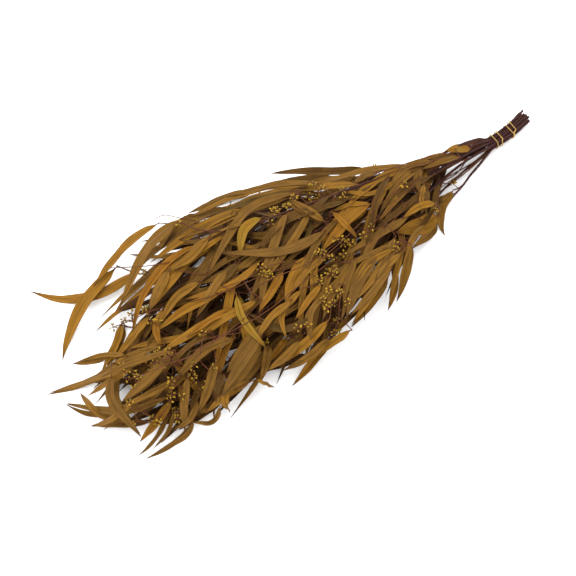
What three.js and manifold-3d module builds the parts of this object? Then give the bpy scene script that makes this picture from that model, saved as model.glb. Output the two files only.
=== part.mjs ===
// A bunch of dried, long-leaved eucalyptus, held by one rubber band and lying on a table.
// Units are millimetres, +Z is up. The cut stems point to +X and the leaf tips to -X.
// The bunch is laid down stem by stem, from the table up. Whatever is laid next clears all
// that lies below it, so no stem, leaf or bud crosses one of another stem.
import * as THREE from "three";
import { mergeVertices } from "three/addons/utils/BufferGeometryUtils.js";
import Module from "manifold-3d";

const wasm = await Module();
wasm.setup();

// Stems, from their cut ends through the band
const CUT_END_X = 329;
const SPLAY_FROM_X = 304;
const SPLAY = 0.16;
const PACKED_TO_X = 260;
const BUNDLE_Y = 8;
const BUNDLE_BEND = 0.0026;
const FANNED_FROM_X = 205;
const STEM_RADIUS = 1.3;
const STEM_TIP_RADIUS = 0.7;
const STEM_PITCH = 3.6;
const ROW_RISE = STEM_PITCH * Math.sqrt(0.75);
const CUT_END_Z = 2.6;
const BUNDLE_SLOPE = 0.05;
const STEM_STATIONS = 15;

// Side twigs, each to one of the leaves that stand out in the outline
const TWIG_LEAN = 1.6;
const TWIG_RADIUS = 0.85;
const TWIG_TIP_RADIUS = 0.6;
const TWIG_STATIONS = 4;
const TWIG_LEAF_SPACING = 42;
const TWIG_START_GAP = 6;
const TWIG_STRAIGHT_SHARE = 0.45;
const TWIG_BEND_SHARE = 0.25;

// Leaves: length, width, and the share of the width at each station along the blade
const LEAF_LENGTH = [98, 148];
const LEAF_WIDTH = [9, 13.5];
const LEAF_THICKNESS = 0.85;
const LEAF_STATIONS = [0, 0.13, 0.4, 0.72, 1];
const LEAF_WIDTH_SHARES = [0.09, 0.5, 1, 0.85, 0.08];
const LEAF_SPREAD_DEG = [12, 42];
const LEAF_TURN_DEG = [-20, 56];
const LEAF_ROLL_DEG = 24;
const LEAF_TWIST_DEG = 36;
const LEAF_RISE = [-0.05, 0.2];
const LEAF_DROOP = [0.15, 0.5];
const LEAN_SHARE = 0.7;
const SHOWN_LEAF_RISE = 0.08;
const SHOWN_LEAF_DROOP = 0.3;
const LEFT_LACKING = 0.2;
const LEAF_TRIES = 7;
const LEAVES_TO_SHARE = 0.95;

// Umbels: a stalk with club-shaped buds that spread from its end
const UMBEL_STALK = 10;
const UMBEL_STALK_RADIUS = 0.7;
const UMBEL_TURN = 1.2;
const BUD_LIFT = 0.9;
const UMBEL_SAMPLES = [0, 3, 6, 9];
const UMBEL_HEIGHT_LIMIT = 18;
const BUD_LENGTH = 5.6;
const BUD_RADIUS = 1.4;
const BUDS_PER_UMBEL = 4;
const BUD_END_RADIUS = 0.4;
const HUB_RADIUS = 1.6;

// Rubber band
const LOWER_TURNS_X = 272;
const UPPER_TURNS_X = 298;
const BAND_THICKNESS = 1.5;
const BAND_GAP = 0.5;
const BAND_SIDES = 4;
const BAND_STATIONS = 12;

// The plan outline of the leafy part, which leaves placed by the rule stay inside. The higher
// a leaf lies, the further it has to stay in from the outline's far side.
const INSET_X = 0.31;
const INSET_Y = 0.48;
const OUTLINE = [
  [235, 21],
  [125, 51],
  [22, 111],
  [-118, 129],
  [-221, 99],
  [-279, 97],
  [-287, 37],
  [-238, 22],
  [-317, 5],
  [-307, -51],
  [-273, -101],
  [-179, -127],
  [-17, -107],
  [55, -99],
  [101, -61],
  [165, -45],
];

// Where the leaves begin on the stems of each row, and how lively they roll. The lower rows
// are bare for longer, so that the bunch grows in height gently beyond the band.
const LEAFY_FROM_X = [120, 145, 170];
const LIVELINESS = [0.4, 0.7, 1.1];

// Each stem: its row and place in the packed bundle, its plan route beyond the band, its
// numbers of leaves and umbels, and its shown leaves as base, middle and tip in plan, with
// their width.
const STEMS = [
  {
    row: 0,
    place: -1.5,
    route: [[180, -12], [110, -38], [40, -64], [-30, -84]],
    leaves: 8,
    umbels: 1,
    shown: [
      [[104, -53], [75, -81], [47, -103], 13],
      [[59, -72], [26, -87], [-13, -102], 14],
    ],
  },
  {
    row: 0,
    place: -0.5,
    route: [[180, -3], [60, -34], [-70, -70], [-165, -92]],
    leaves: 8,
    umbels: 1,
    shown: [
      [[-39, -106], [-73, -118], [-106, -126], 13],
      [[-219, -106], [-239, -114], [-275, -113], 12],
    ],
  },
  {
    row: 0,
    place: 0.5,
    route: [[180, 7], [60, 11], [-80, 16], [-190, 14]],
    leaves: 8,
    umbels: 1,
    shown: [
      [[-220, 33], [-237, 17], [-258, 1], 12],
      [[-246, 10], [-268, 14], [-288, 24], 12],
    ],
  },
  {
    row: 0,
    place: 1.5,
    route: [[180, 17], [80, 38], [-30, 62], [-120, 80]],
    leaves: 8,
    umbels: 1,
    shown: [
      [[91, 54], [43, 90], [3, 110], 14],
      [[-7, 104], [-46, 117], [-86, 123], 13],
    ],
  },
  {
    row: 1,
    place: -2,
    route: [[218, -14], [196, -22], [178, -28], [152, -40]],
    leaves: 3,
    umbels: 1,
    shown: [
      [[187, -20], [155, -37], [143, -63], 13],
      [[146, -46], [118, -58], [95, -62], 13],
    ],
  },
  {
    row: 1,
    place: -1,
    route: [[180, -7], [60, -36], [-60, -64], [-175, -88]],
    leaves: 8,
    umbels: 1,
    shown: [
      [[-229, -84], [-258, -105], [-280, -106], 12],
      [[-254, -87], [-280, -70], [-305, -50], 13],
      [[61, -79], [43, -100], [28, -111], 12],
    ],
  },
  {
    row: 1,
    place: 0,
    route: [[180, 3], [60, -5], [-90, -18], [-220, -34]],
    leaves: 8,
    umbels: 2,
    shown: [
      [[-237, -17], [-277, -8], [-327, 6], 13],
      [[-211, -61], [-279, -60], [-316, -14], 14],
      [[-256, -12], [-273, -49], [-268, -92], 12],
    ],
  },
  {
    row: 1,
    place: 1,
    route: [[180, 9], [60, 20], [-70, 38], [-165, 54]],
    leaves: 8,
    umbels: 1,
    shown: [
      [[-172, 80], [-238, 82], [-286, 129], 13],
      [[-192, 98], [-259, 68], [-295, 33], 14],
    ],
  },
  {
    row: 1,
    place: 2,
    route: [[190, 15], [120, 26], [50, 46], [-40, 70]],
    leaves: 8,
    umbels: 1,
    shown: [
      [[111, 36], [64, 66], [18, 113], 13],
      [[-128, 116], [-174, 108], [-226, 87], 14],
    ],
  },
  {
    row: 2,
    place: -1.5,
    route: [[180, -11], [90, -37], [0, -64], [-90, -88]],
    leaves: 8,
    umbels: 2,
    shown: [
      [[141, -50], [110, -50], [82, -46], 16],
      [[-111, -84], [-156, -97], [-200, -108], 17],
    ],
  },
  {
    row: 2,
    place: -0.5,
    route: [[180, -5], [60, -26], [-80, -48], [-195, -62]],
    leaves: 8,
    umbels: 2,
    shown: [
      [[-106, -18], [-115, -49], [-113, -90], 13],
      [[-30, -27], [-63, -48], [-80, -50], 15],
    ],
  },
  {
    row: 2,
    place: 0.5,
    route: [[180, 1], [60, -6], [-80, -8], [-200, -14]],
    leaves: 8,
    umbels: 2,
    shown: [
      [[72, -12], [28, -13], [-6, -30], 14],
      [[-49, 44], [-69, 33], [-80, 17], 12],
      [[-108, 41], [-162, 32], [-195, 17], 13],
    ],
  },
  {
    row: 2,
    place: 1.5,
    route: [[180, 6], [70, 14], [-40, 28], [-125, 46]],
    leaves: 8,
    umbels: 2,
    shown: [
      [[-119, 80], [-171, 65], [-216, 35], 13],
      [[-7, 33], [1, 11], [16, -5], 14],
    ],
  },
];

let liveliness = 1;
const radians = (degrees) => (degrees * Math.PI) / 180;
const clamp = (value, low, high) => Math.min(high, Math.max(low, value));
const mix = (a, b, share) => a + (b - a) * share;

// Random draws from 0 to 1, the same on every run
const DRAW_FACTOR = 16807;
const DRAW_LIMIT = 2147483647;
let seed = 20731;
function draw() {
  seed = (seed * DRAW_FACTOR) % DRAW_LIMIT;
  return seed / DRAW_LIMIT;
}
const drawBetween = ([low, high]) => mix(low, high, draw());

// The pile: the tops of what the earlier stems laid down, over a grid of square cells. The
// cushion is the same surface with its cliffs and holes eased to a gentle slope, and the next
// stem lies on it.
const CELL = 3;
const GRID_X = -400;
const GRID_Y = -220;
const CELLS_X = 260;
const CELLS_Y = 150;
const PILE_GAP = 0.4;
const CUSHION_SLOPE = 0.4;
const pile = new Float64Array(CELLS_X * CELLS_Y);
const cushion = new Float64Array(CELLS_X * CELLS_Y);
const freshTops = new Float64Array(CELLS_X * CELLS_Y);

function cellOf(x, y) {
  const i = clamp(Math.floor((x - GRID_X) / CELL), 1, CELLS_X - 2);
  const j = clamp(Math.floor((y - GRID_Y) / CELL), 1, CELLS_Y - 2);
  return i * CELLS_Y + j;
}

function markTop(x, y, z) {
  const cell = cellOf(x, y);
  freshTops[cell] = Math.max(freshTops[cell], z);
}

// Adds a finished stem's tops to the pile, then eases the cushion from cell to cell both ways.
function settlePile() {
  const aslant = CUSHION_SLOPE * CELL * Math.SQRT2;
  const straight = CUSHION_SLOPE * CELL;
  for (let cell = 0; cell < pile.length; cell++) {
    pile[cell] = Math.max(pile[cell], freshTops[cell]);
    cushion[cell] = pile[cell];
  }
  freshTops.fill(0);
  const ease = (cell, way) => {
    const beside = cushion[cell - way] - straight;
    const before = cushion[cell - way * CELLS_Y] - straight;
    const corner = cushion[cell - way * (CELLS_Y + 1)] - aslant;
    const otherCorner = cushion[cell - way * (CELLS_Y - 1)] - aslant;
    cushion[cell] = Math.max(cushion[cell], beside, before, corner, otherCorner);
  };
  for (let i = 1; i < CELLS_X - 1; i++)
    for (let j = 1; j < CELLS_Y - 1; j++) ease(i * CELLS_Y + j, 1);
  for (let i = CELLS_X - 2; i > 0; i--)
    for (let j = CELLS_Y - 2; j > 0; j--) ease(i * CELLS_Y + j, -1);
}

// How high an underside has to be at a point of the plan, to clear the given tops
function clearHeight(tops, x, y) {
  const cell = cellOf(x, y);
  let top = 0;
  for (const di of [-CELLS_Y, 0, CELLS_Y])
    for (const dj of [-1, 0, 1]) top = Math.max(top, tops[cell + di + dj]);
  return top > 0 ? top + PILE_GAP : 0;
}

// A path is a list of stations: the middle x, y, z, the heading in plan, half the width, the
// roll about the path's own length, and half the thickness (deep).
// side is 1 for the upper face and -1 for the underside, across runs from -1 to 1.
function facePoint(a, b, along, across, side) {
  const point = { x: 0, y: 0, z: 0 };
  for (const [p, share] of [[a, 1 - along], [b, along]]) {
    const reach = across * p.half * Math.cos(p.roll) - side * p.deep * Math.sin(p.roll);
    const rise = across * p.half * Math.sin(p.roll) + side * p.deep * Math.cos(p.roll);
    point.x += share * (p.x - Math.sin(p.heading) * reach);
    point.y += share * (p.y + Math.cos(p.heading) * reach);
    point.z += share * (p.z + rise);
  }
  return point;
}

const SAMPLE_STEP = 3;
const ACROSS_SHARES = [-1, -0.5, 0, 0.5, 1];
const LIFT_SWEEPS = 5;

// Lifts the stations after the first `fixed` ones until all that lies between them clears the
// given tops, or until a station is up by `limit`. What grows from something else may touch
// it over its first reach. Returns the worst height that the last sweep still found lacking.
function liftClear(path, fixed, tops, reach, limit) {
  const lifts = path.map(() => 0);
  const lift = (k, height) => {
    if (k < fixed) return;
    const step = Math.min(height, limit - lifts[k]);
    lifts[k] += step;
    path[k].z += step;
  };
  let worst = 0;
  for (let sweep = 0; sweep < LIFT_SWEEPS; sweep++) {
    worst = 0;
    let fromBase = 0;
    for (let k = fixed - 1; k + 1 < path.length; k++) {
      const a = path[k];
      const b = path[k + 1];
      const length = Math.hypot(b.x - a.x, b.y - a.y);
      const steps = Math.ceil(length / SAMPLE_STEP);
      for (let step = 1; step <= steps; step++) {
        const share = step / steps;
        if (fromBase + share * length < reach) continue;
        let lack = 0;
        for (const across of ACROSS_SHARES) {
          const point = facePoint(a, b, share, across, -1);
          lack = Math.max(lack, clearHeight(tops, point.x, point.y) - point.z);
        }
        worst = Math.max(worst, lack);
        const spread = (1 - share) ** 2 + share ** 2;
        lift(k, (lack * (1 - share)) / spread);
        lift(k + 1, k >= fixed ? (lack * share) / spread : lack);
      }
      fromBase += length;
    }
  }
  return worst;
}

const TOUCHING_REACH = 5;
const OWN_REACH = 14;
const OWN_LIFT_LIMIT = 3.5;

// Lays the stations after the first `fixed` ones on the cushion, eases them over what the same
// stem laid down before, and then lifts them clear of the pile. Returns what is still lacking.
function layDown(path, fixed) {
  for (const p of path.slice(fixed)) {
    const low = cushion[cellOf(p.x, p.y)];
    const under = p.deep * Math.cos(p.roll) + p.half * Math.abs(Math.sin(p.roll));
    p.z = Math.max(p.z, low + under + (low > 0 ? PILE_GAP : 0));
  }
  liftClear(path, fixed, freshTops, OWN_REACH, OWN_LIFT_LIMIT);
  return liftClear(path, fixed, pile, TOUCHING_REACH, Infinity);
}

// Raises the stations that sag below a straight line between others, as on a stiff stem.
function pullTight(path, fixed) {
  for (let i = fixed - 1; i < path.length; i++)
    for (let j = i + 2; j < path.length; j++)
      for (let k = i + 1; k < j; k++) {
        const share = (k - i) / (j - i);
        path[k].z = Math.max(path[k].z, mix(path[i].z, path[j].z, share));
      }
}

function markPath(path, toX = Infinity) {
  for (let k = 0; k + 1 < path.length; k++) {
    const a = path[k];
    const b = path[k + 1];
    const steps = Math.ceil(Math.hypot(b.x - a.x, b.y - a.y) / SAMPLE_STEP);
    for (let step = 0; step <= steps; step++)
      for (const across of ACROSS_SHARES) {
        const point = facePoint(a, b, step / steps, across, 1);
        if (point.x < toX) markTop(point.x, point.y, point.z);
      }
  }
}

// A point of a smooth plan curve through the given points, t from 0 to 1
function routePoint(points, t) {
  const along = clamp(t, 0, 1) * (points.length - 1);
  const i = Math.min(Math.floor(along), points.length - 2);
  const u = along - i;
  const [p0, p1, p2, p3] = [-1, 0, 1, 2].map((k) => points[clamp(i + k, 0, points.length - 1)]);
  return [0, 1].map(
    (axis) =>
      0.5 *
      (2 * p1[axis] +
        (p2[axis] - p0[axis]) * u +
        (2 * p0[axis] - 5 * p1[axis] + 4 * p2[axis] - p3[axis]) * u ** 2 +
        (3 * p1[axis] - p0[axis] - 3 * p2[axis] + p3[axis]) * u ** 3),
  );
}

// The heading at each station, from the stations beside it
function setHeadings(path) {
  path.forEach((p, k) => {
    const before = path[Math.max(k - 1, 0)];
    const after = path[Math.min(k + 1, path.length - 1)];
    p.heading = Math.atan2(after.y - before.y, after.x - before.x);
  });
}

// The point of a path at a share of its stations. A leaf at the end starts a little inside it.
const END_SHARE = 0.975;
function onPath(path, share) {
  const along = clamp(share, 0, 0.9999) * (path.length - 1);
  const k = Math.floor(along);
  const a = path[k];
  const b = path[k + 1];
  const point = { heading: Math.atan2(b.y - a.y, b.x - a.x) };
  for (const key of ["x", "y", "z"]) point[key] = mix(a[key], b[key], along - k);
  return point;
}

// The share of a stem's stations that lie before x, counted from its cut end
function shareAtX(path, x) {
  return Math.min(path.filter((p) => p.x > x).length / path.length, 0.75);
}

// A stem's place in the packed bundle at x, splayed a little towards the cut ends
function bundlePlace(stem, x) {
  const splay = 1 + SPLAY * clamp((x - SPLAY_FROM_X) / (CUT_END_X - SPLAY_FROM_X), 0, 1);
  const bend = BUNDLE_BEND * Math.max(0, x - PACKED_TO_X) ** 2;
  return {
    y: BUNDLE_Y + bend + stem.place * STEM_PITCH * splay,
    z: CUT_END_Z + (CUT_END_X - x) * BUNDLE_SLOPE + stem.row * ROW_RISE * splay,
  };
}

const CUT_END_SCATTER = 9;
const PACKED_STATIONS = 6;
const STATION_CROWDING = 1.2;

function stemPath(stem) {
  const cutX = CUT_END_X - CUT_END_SCATTER * draw();
  const path = [];
  for (let k = 0; k < PACKED_STATIONS; k++) {
    const x = mix(cutX, PACKED_TO_X, k / (PACKED_STATIONS - 1));
    path.push({ x, ...bundlePlace(stem, x) });
  }
  const packedEnd = path[PACKED_STATIONS - 1];
  const points = [[packedEnd.x, packedEnd.y], ...stem.route];
  const free = STEM_STATIONS - PACKED_STATIONS;
  for (let k = 1; k <= free; k++) {
    const [x, y] = routePoint(points, (k / free) ** STATION_CROWDING);
    path.push({ x, y, z: STEM_RADIUS });
  }
  path.forEach((p, k) => {
    p.deep = mix(STEM_RADIUS, STEM_TIP_RADIUS, Math.max(0, k - PACKED_STATIONS) / (free - 1));
    p.half = p.deep;
    p.roll = 0;
  });
  setHeadings(path);
  layDown(path, PACKED_STATIONS);
  pullTight(path, PACKED_STATIONS);
  return path;
}

// The twig that carries a shown leaf leaves its stem further back, at an easy angle.
function twigPath(stemLine, [endX, endY]) {
  let best = null;
  for (let share = 0.3; share < 1; share += 0.02) {
    const p = onPath(stemLine, share);
    const aside = Math.abs(Math.sin(p.heading) * (endX - p.x) - Math.cos(p.heading) * (endY - p.y));
    const along = Math.cos(p.heading) * (endX - p.x) + Math.sin(p.heading) * (endY - p.y);
    const miss = Math.abs(along - TWIG_LEAN * aside - TWIG_START_GAP);
    if (!best || miss < best.miss) best = { miss, p, along };
  }
  const { p, along } = best;
  const ahead = TWIG_STRAIGHT_SHARE * along;
  const bend = [p.x + Math.cos(p.heading) * ahead, p.y + Math.sin(p.heading) * ahead];
  const middle = [mix(bend[0], endX, TWIG_BEND_SHARE), mix(bend[1], endY, TWIG_BEND_SHARE)];
  const path = [];
  for (let k = 0; k < TWIG_STATIONS; k++) {
    const share = k / (TWIG_STATIONS - 1);
    const [x, y] = routePoint([[p.x, p.y], middle, [endX, endY]], share);
    const deep = mix(TWIG_RADIUS, TWIG_TIP_RADIUS, share);
    path.push({ x, y, z: p.z, deep, half: deep, roll: 0 });
  }
  setHeadings(path);
  layDown(path, 1);
  pullTight(path, 1);
  return path;
}

// Gives a blade its widths and lets it lean on what lies beside it. On the table it lies flat.
function finishLeaf(path, width, roll, twist) {
  path.forEach((p, k) => {
    p.half = (width / 2) * LEAF_WIDTH_SHARES[k];
    p.deep = LEAF_THICKNESS / 2;
    p.roll = 0;
    const left = facePoint(p, p, 0, 1, -1);
    const right = facePoint(p, p, 0, -1, -1);
    const leftHeight = cushion[cellOf(left.x, left.y)];
    const rightHeight = cushion[cellOf(right.x, right.y)];
    const lean = Math.atan2(leftHeight - rightHeight, 2 * p.half + CELL);
    const free = leftHeight + rightHeight > 0 ? roll + twist * LEAF_STATIONS[k] : 0;
    p.roll = (LEAN_SHARE * lean + free) * Math.min(1, k / 2);
  });
  return layDown(path, 1);
}

// The rise and droop of a blade over its length, before it meets what lies below
function naturalHeight(base, length, rise, droop, share) {
  return Math.max(base.z + length * (rise * share - droop * share ** 2), LEAF_THICKNESS / 2);
}

function shownLeafPath(base, [, middle, tip, width]) {
  const length = Math.hypot(tip[0] - base.x, tip[1] - base.y);
  const path = LEAF_STATIONS.map((share) => {
    const [x, y] = routePoint([[base.x, base.y], middle, tip], share);
    const z = naturalHeight(base, length, SHOWN_LEAF_RISE, SHOWN_LEAF_DROOP, share);
    return { x, y, z };
  });
  setHeadings(path);
  const roll = radians(mix(-LEAF_ROLL_DEG, LEAF_ROLL_DEG, draw()));
  finishLeaf(path, width, roll, 0);
  return path;
}

function isInside(p) {
  const x = p.x + INSET_X * p.z;
  const y = p.y + INSET_Y * p.z;
  let inside = false;
  OUTLINE.forEach(([x1, y1], k) => {
    const [x2, y2] = OUTLINE[(k + 1) % OUTLINE.length];
    if (y1 > y !== y2 > y && x < mix(x1, x2, (y - y1) / (y2 - y1))) inside = !inside;
  });
  return inside;
}

// A leaf placed by the rule: it spreads to one side of what it grows from and curves evenly.
function ruledLeafPath(base, side) {
  for (let attempt = 0; attempt < LEAF_TRIES; attempt++) {
    const way = attempt % 2 ? -side : side;
    const length = drawBetween(LEAF_LENGTH);
    const width = drawBetween(LEAF_WIDTH);
    const spread = way * radians(drawBetween(LEAF_SPREAD_DEG));
    const turn = radians(drawBetween(LEAF_TURN_DEG));
    const roll = liveliness * radians(mix(-LEAF_ROLL_DEG, LEAF_ROLL_DEG, draw()));
    const twist = liveliness * radians(mix(-LEAF_TWIST_DEG, LEAF_TWIST_DEG, draw()));
    const rise = drawBetween(LEAF_RISE);
    const droop = drawBetween(LEAF_DROOP);
    const path = [];
    let { x, y } = base;
    let before = 0;
    for (const share of LEAF_STATIONS) {
      const heading = base.heading + spread + (turn * (share + before)) / 2;
      x += Math.cos(heading) * (share - before) * length;
      y += Math.sin(heading) * (share - before) * length;
      before = share;
      path.push({ x, y, z: naturalHeight(base, length, rise, droop, share) });
    }
    setHeadings(path);
    const lacking = finishLeaf(path, width, roll, twist);
    if (lacking < LEFT_LACKING && path.slice(2).every(isInside)) return path;
  }
  return null;
}

// An umbel stands on a stalk from its twig, and its buds spread from the hub above the pile.
function umbelPlan(base) {
  const away = base.heading + mix(-UMBEL_TURN, UMBEL_TURN, draw());
  const hub = {
    x: base.x + Math.cos(away) * UMBEL_STALK * 0.7,
    y: base.y + Math.sin(away) * UMBEL_STALK * 0.7,
    z: base.z + UMBEL_STALK * 0.5,
  };
  const buds = [];
  for (let k = 0; k < BUDS_PER_UMBEL; k++) {
    const around = away + (2 * Math.PI * (k + 0.4 * draw())) / BUDS_PER_UMBEL;
    const lift = BUD_LIFT * draw();
    buds.push([Math.cos(around) * Math.cos(lift), Math.sin(around) * Math.cos(lift), Math.sin(lift)]);
  }
  for (const [wx, wy, wz] of buds)
    for (const reach of UMBEL_SAMPLES) {
      const below = clearHeight(pile, hub.x + wx * reach, hub.y + wy * reach);
      hub.z = Math.max(hub.z, below + BUD_RADIUS - wz * reach);
    }
  if (hub.z - base.z > UMBEL_HEIGHT_LIMIT) return null;
  for (const [wx, wy, wz] of buds)
    for (const reach of UMBEL_SAMPLES)
      markTop(hub.x + wx * reach, hub.y + wy * reach, hub.z + wz * reach + BUD_RADIUS);
  return { base, hub, buds };
}

// Lays one leafy stem on the pile: the paths of its wood and its leaves, and its umbels.
function layStem(stem) {
  liveliness = LIVELINESS[stem.row];
  const line = stemPath(stem);
  markPath(line, FANNED_FROM_X);
  const twigs = [];
  const leaves = [];
  const addLeaf = (leaf) => {
    if (!leaf) return;
    markPath(leaf);
    leaves.push(leaf);
  };
  for (const shown of stem.shown) {
    const twig = twigPath(line, shown[0]);
    markPath(twig);
    twigs.push(twig);
    addLeaf(shownLeafPath(onPath(twig, END_SHARE), shown));
  }
  for (const twig of twigs) {
    const [from, , , to] = twig;
    const count = Math.floor(Math.hypot(to.x - from.x, to.y - from.y) / TWIG_LEAF_SPACING);
    for (let k = count - 1; k >= 0; k--) {
      const base = onPath(twig, (k + 0.8) / count);
      addLeaf(ruledLeafPath(base, k % 2 ? 1 : -1));
    }
  }
  addLeaf(ruledLeafPath(onPath(line, END_SHARE), 0.3));
  const leafyFrom = shareAtX(line, LEAFY_FROM_X[stem.row]);
  for (let k = stem.leaves - 1; k >= 0; k--) {
    const along = (k + 0.6 * draw()) / stem.leaves;
    const base = onPath(line, mix(leafyFrom, LEAVES_TO_SHARE, along));
    addLeaf(ruledLeafPath(base, k % 2 ? 1 : -1));
  }
  const umbels = [];
  for (let k = 0; k < stem.umbels; k++) {
    const carrier = twigs[k % twigs.length];
    const umbel = umbelPlan(onPath(carrier, mix(0.5, 0.95, draw())));
    if (umbel) umbels.push(umbel);
  }
  settlePile();
  return { line, twigs, leaves, umbels };
}

// A closed solid from a position array, and a triangle index where the corners are shared
function solidOf(positions, index) {
  const geometry = new THREE.BufferGeometry();
  geometry.setAttribute("position", new THREE.BufferAttribute(new Float32Array(positions), 3));
  if (index) geometry.setIndex(index);
  const merged = mergeVertices(geometry, 1e-4);
  return new wasm.Manifold(
    new wasm.Mesh({
      numProp: 3,
      vertProperties: merged.attributes.position.array,
      triVerts: new Uint32Array(merged.index.array),
    }),
  );
}

// A closed solid through rings of points, which run anticlockwise about the way along. The
// underside of a bar, the later half of its ring, is split into triangles like its top.
function loft(rings, isBar) {
  const count = rings[0].length;
  const index = [];
  for (let k = 0; k + 1 < rings.length; k++)
    for (let j = 0; j < count; j++) {
      const a = k * count + j;
      const b = k * count + ((j + 1) % count);
      const [c, d] = [b + count, a + count];
      if (isBar && j >= count / 2) index.push(a, b, d, b, c, d);
      else index.push(a, b, c, a, c, d);
    }
  const last = (rings.length - 1) * count;
  for (let j = 1; j + 1 < count; j++) {
    index.push(0, j + 1, j);
    index.push(last, last + j, last + j + 1);
  }
  return solidOf(rings.flat().flatMap((p) => [p.x, p.y, p.z]), index);
}

// Whatever comes this near the table lies on it.
const TABLE_SNAP = 0.25;
const onTable = (v) => (v.z < TABLE_SNAP ? v.setZ(0) : v);

// A round, tapering piece along a list of points
function tube(points, radii, sides) {
  const centres = points.map((p) => new THREE.Vector3(p.x, p.y, p.z));
  const rings = centres.map((centre, k) => {
    const after = centres[Math.min(k + 1, centres.length - 1)];
    const tangent = after.clone().sub(centres[Math.max(k - 1, 0)]).normalize();
    const guide = new THREE.Vector3(0, 0, 1);
    if (Math.abs(tangent.z) > 0.9) guide.set(1, 0, 0);
    const left = new THREE.Vector3().crossVectors(guide, tangent).normalize();
    const over = new THREE.Vector3().crossVectors(tangent, left);
    return Array.from({ length: sides }, (_, j) => {
      const angle = (2 * Math.PI * j) / sides + Math.PI / 2;
      const point = centre.clone().addScaledVector(left, radii[k] * Math.cos(angle));
      return onTable(point.addScaledVector(over, radii[k] * Math.sin(angle)));
    });
  });
  return loft(rings, false);
}

// A blade, or a stem or twig as a bar of square section, along its path
function bar(path) {
  const corners = [[1, 1], [-1, 1], [-1, -1], [1, -1]];
  const rings = path.map((p) =>
    corners.map(([across, side]) => {
      const { x, y, z } = facePoint(p, p, 0, across, side);
      return onTable(new THREE.Vector3(x, y, z));
    }),
  );
  return loft(rings, true);
}

// The hub is a small eight-sided knot, so that the buds' stalks meet in it and not each other.
function umbelSolids({ base, hub, buds }) {
  const knot = new THREE.OctahedronGeometry(HUB_RADIUS).translate(hub.x, hub.y, hub.z);
  const stalkRadii = [UMBEL_STALK_RADIUS, UMBEL_STALK_RADIUS];
  const solids = [tube([base, hub], stalkRadii, 3), solidOf(knot.attributes.position.array)];
  const reaches = [0.4 * HUB_RADIUS, BUD_LENGTH, 1.5 * BUD_LENGTH];
  const radii = [BUD_END_RADIUS, BUD_RADIUS, BUD_END_RADIUS];
  for (const [wx, wy, wz] of buds) {
    const points = reaches.map((d) => ({ x: hub.x + wx * d, y: hub.y + wy * d, z: hub.z + wz * d }));
    solids.push(tube(points, radii, 3));
  }
  return solids;
}

// Fuses one leafy stem. Its one large body is kept, so a small hollow sealed in it is filled.
function leafyStem(stem) {
  const { line, twigs, leaves, umbels } = layStem(stem);
  const fused = wasm.Manifold.union([
    ...[line, ...twigs, ...leaves].map(bar),
    ...umbels.flatMap(umbelSolids),
  ]);
  return fused.decompose().sort((a, b) => b.volume() - a.volume())[0];
}

// The point of a string drawn round the packed stems at x, where it faces the given angle
function bundleOutline(x, angle) {
  const offset = STEM_RADIUS * Math.SQRT2 + BAND_GAP + BAND_THICKNESS / 2;
  let best = null;
  for (const stem of STEMS) {
    const { y, z } = bundlePlace(stem, x);
    const reach = y * Math.cos(angle) + z * Math.sin(angle);
    if (!best || reach > best.reach) best = { reach, y, z };
  }
  return {
    x,
    y: best.y + offset * Math.cos(angle),
    z: best.z + offset * Math.sin(angle),
  };
}

// One turn of the rubber band round the bundle. It leans along the bundle by `slant`, most
// where it faces `phase`.
function bandTurn(x, slant, phase) {
  const positions = [];
  const index = [];
  const half = (BAND_THICKNESS / 2) * 1.2;
  for (let k = 0; k < BAND_STATIONS; k++) {
    const angle = (2 * Math.PI * k) / BAND_STATIONS;
    const centre = bundleOutline(x + slant * Math.cos(angle - phase), angle);
    for (let j = 0; j < BAND_SIDES; j++) {
      const turn = (2 * Math.PI * (j + 0.5)) / BAND_SIDES;
      const out = half * Math.cos(turn);
      positions.push(centre.x - half * Math.sin(turn));
      positions.push(centre.y + out * Math.cos(angle), centre.z + out * Math.sin(angle));
      const next = (j + 1) % BAND_SIDES;
      const [a, b] = [k * BAND_SIDES + j, k * BAND_SIDES + next];
      const onward = (((k + 1) % BAND_STATIONS) - k) * BAND_SIDES;
      index.push(a, b, b + onward, a, b + onward, a + onward);
    }
  }
  return solidOf(positions, index);
}

// Two places where the band crosses itself, joined by the strand that runs between them
function rubberBand() {
  const strandEnds = [LOWER_TURNS_X, UPPER_TURNS_X].map((x) => bundleOutline(x, radians(-80)));
  const radius = BAND_THICKNESS / 2;
  return wasm.Manifold.union([
    bandTurn(LOWER_TURNS_X, 3.5, radians(20)),
    bandTurn(LOWER_TURNS_X, -3, radians(60)),
    bandTurn(UPPER_TURNS_X, 3.2, radians(70)),
    bandTurn(UPPER_TURNS_X, -3.2, radians(85)),
    tube(strandEnds, [radius, radius], BAND_SIDES),
  ]);
}

const group = new THREE.Group();

function addNode(name, solid, material) {
  const { vertProperties, triVerts } = solid.getMesh();
  const geometry = new THREE.BufferGeometry();
  geometry.setAttribute("position", new THREE.BufferAttribute(vertProperties, 3));
  geometry.setIndex(new THREE.BufferAttribute(triVerts, 1));
  const mesh = new THREE.Mesh(geometry, material);
  mesh.name = name;
  group.add(mesh);
}

const driedLeaf = new THREE.MeshStandardMaterial({ color: 0x7d5b26, roughness: 0.7 });
const rubber = new THREE.MeshStandardMaterial({ color: 0xc9a53a, roughness: 0.55 });

STEMS.forEach((stem, k) => {
  addNode(`leafy_stem_${String(k + 1).padStart(2, "0")}`, leafyStem(stem), driedLeaf);
});
addNode("rubber_band", rubberBand(), rubber);

// The origin is the middle of the bunch's underside.
const bounds = new THREE.Box3().setFromObject(group);
const middle = bounds.getCenter(new THREE.Vector3());
group.position.set(-middle.x, -middle.y, -bounds.min.z);

export default group;
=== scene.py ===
import math
import random

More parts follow.
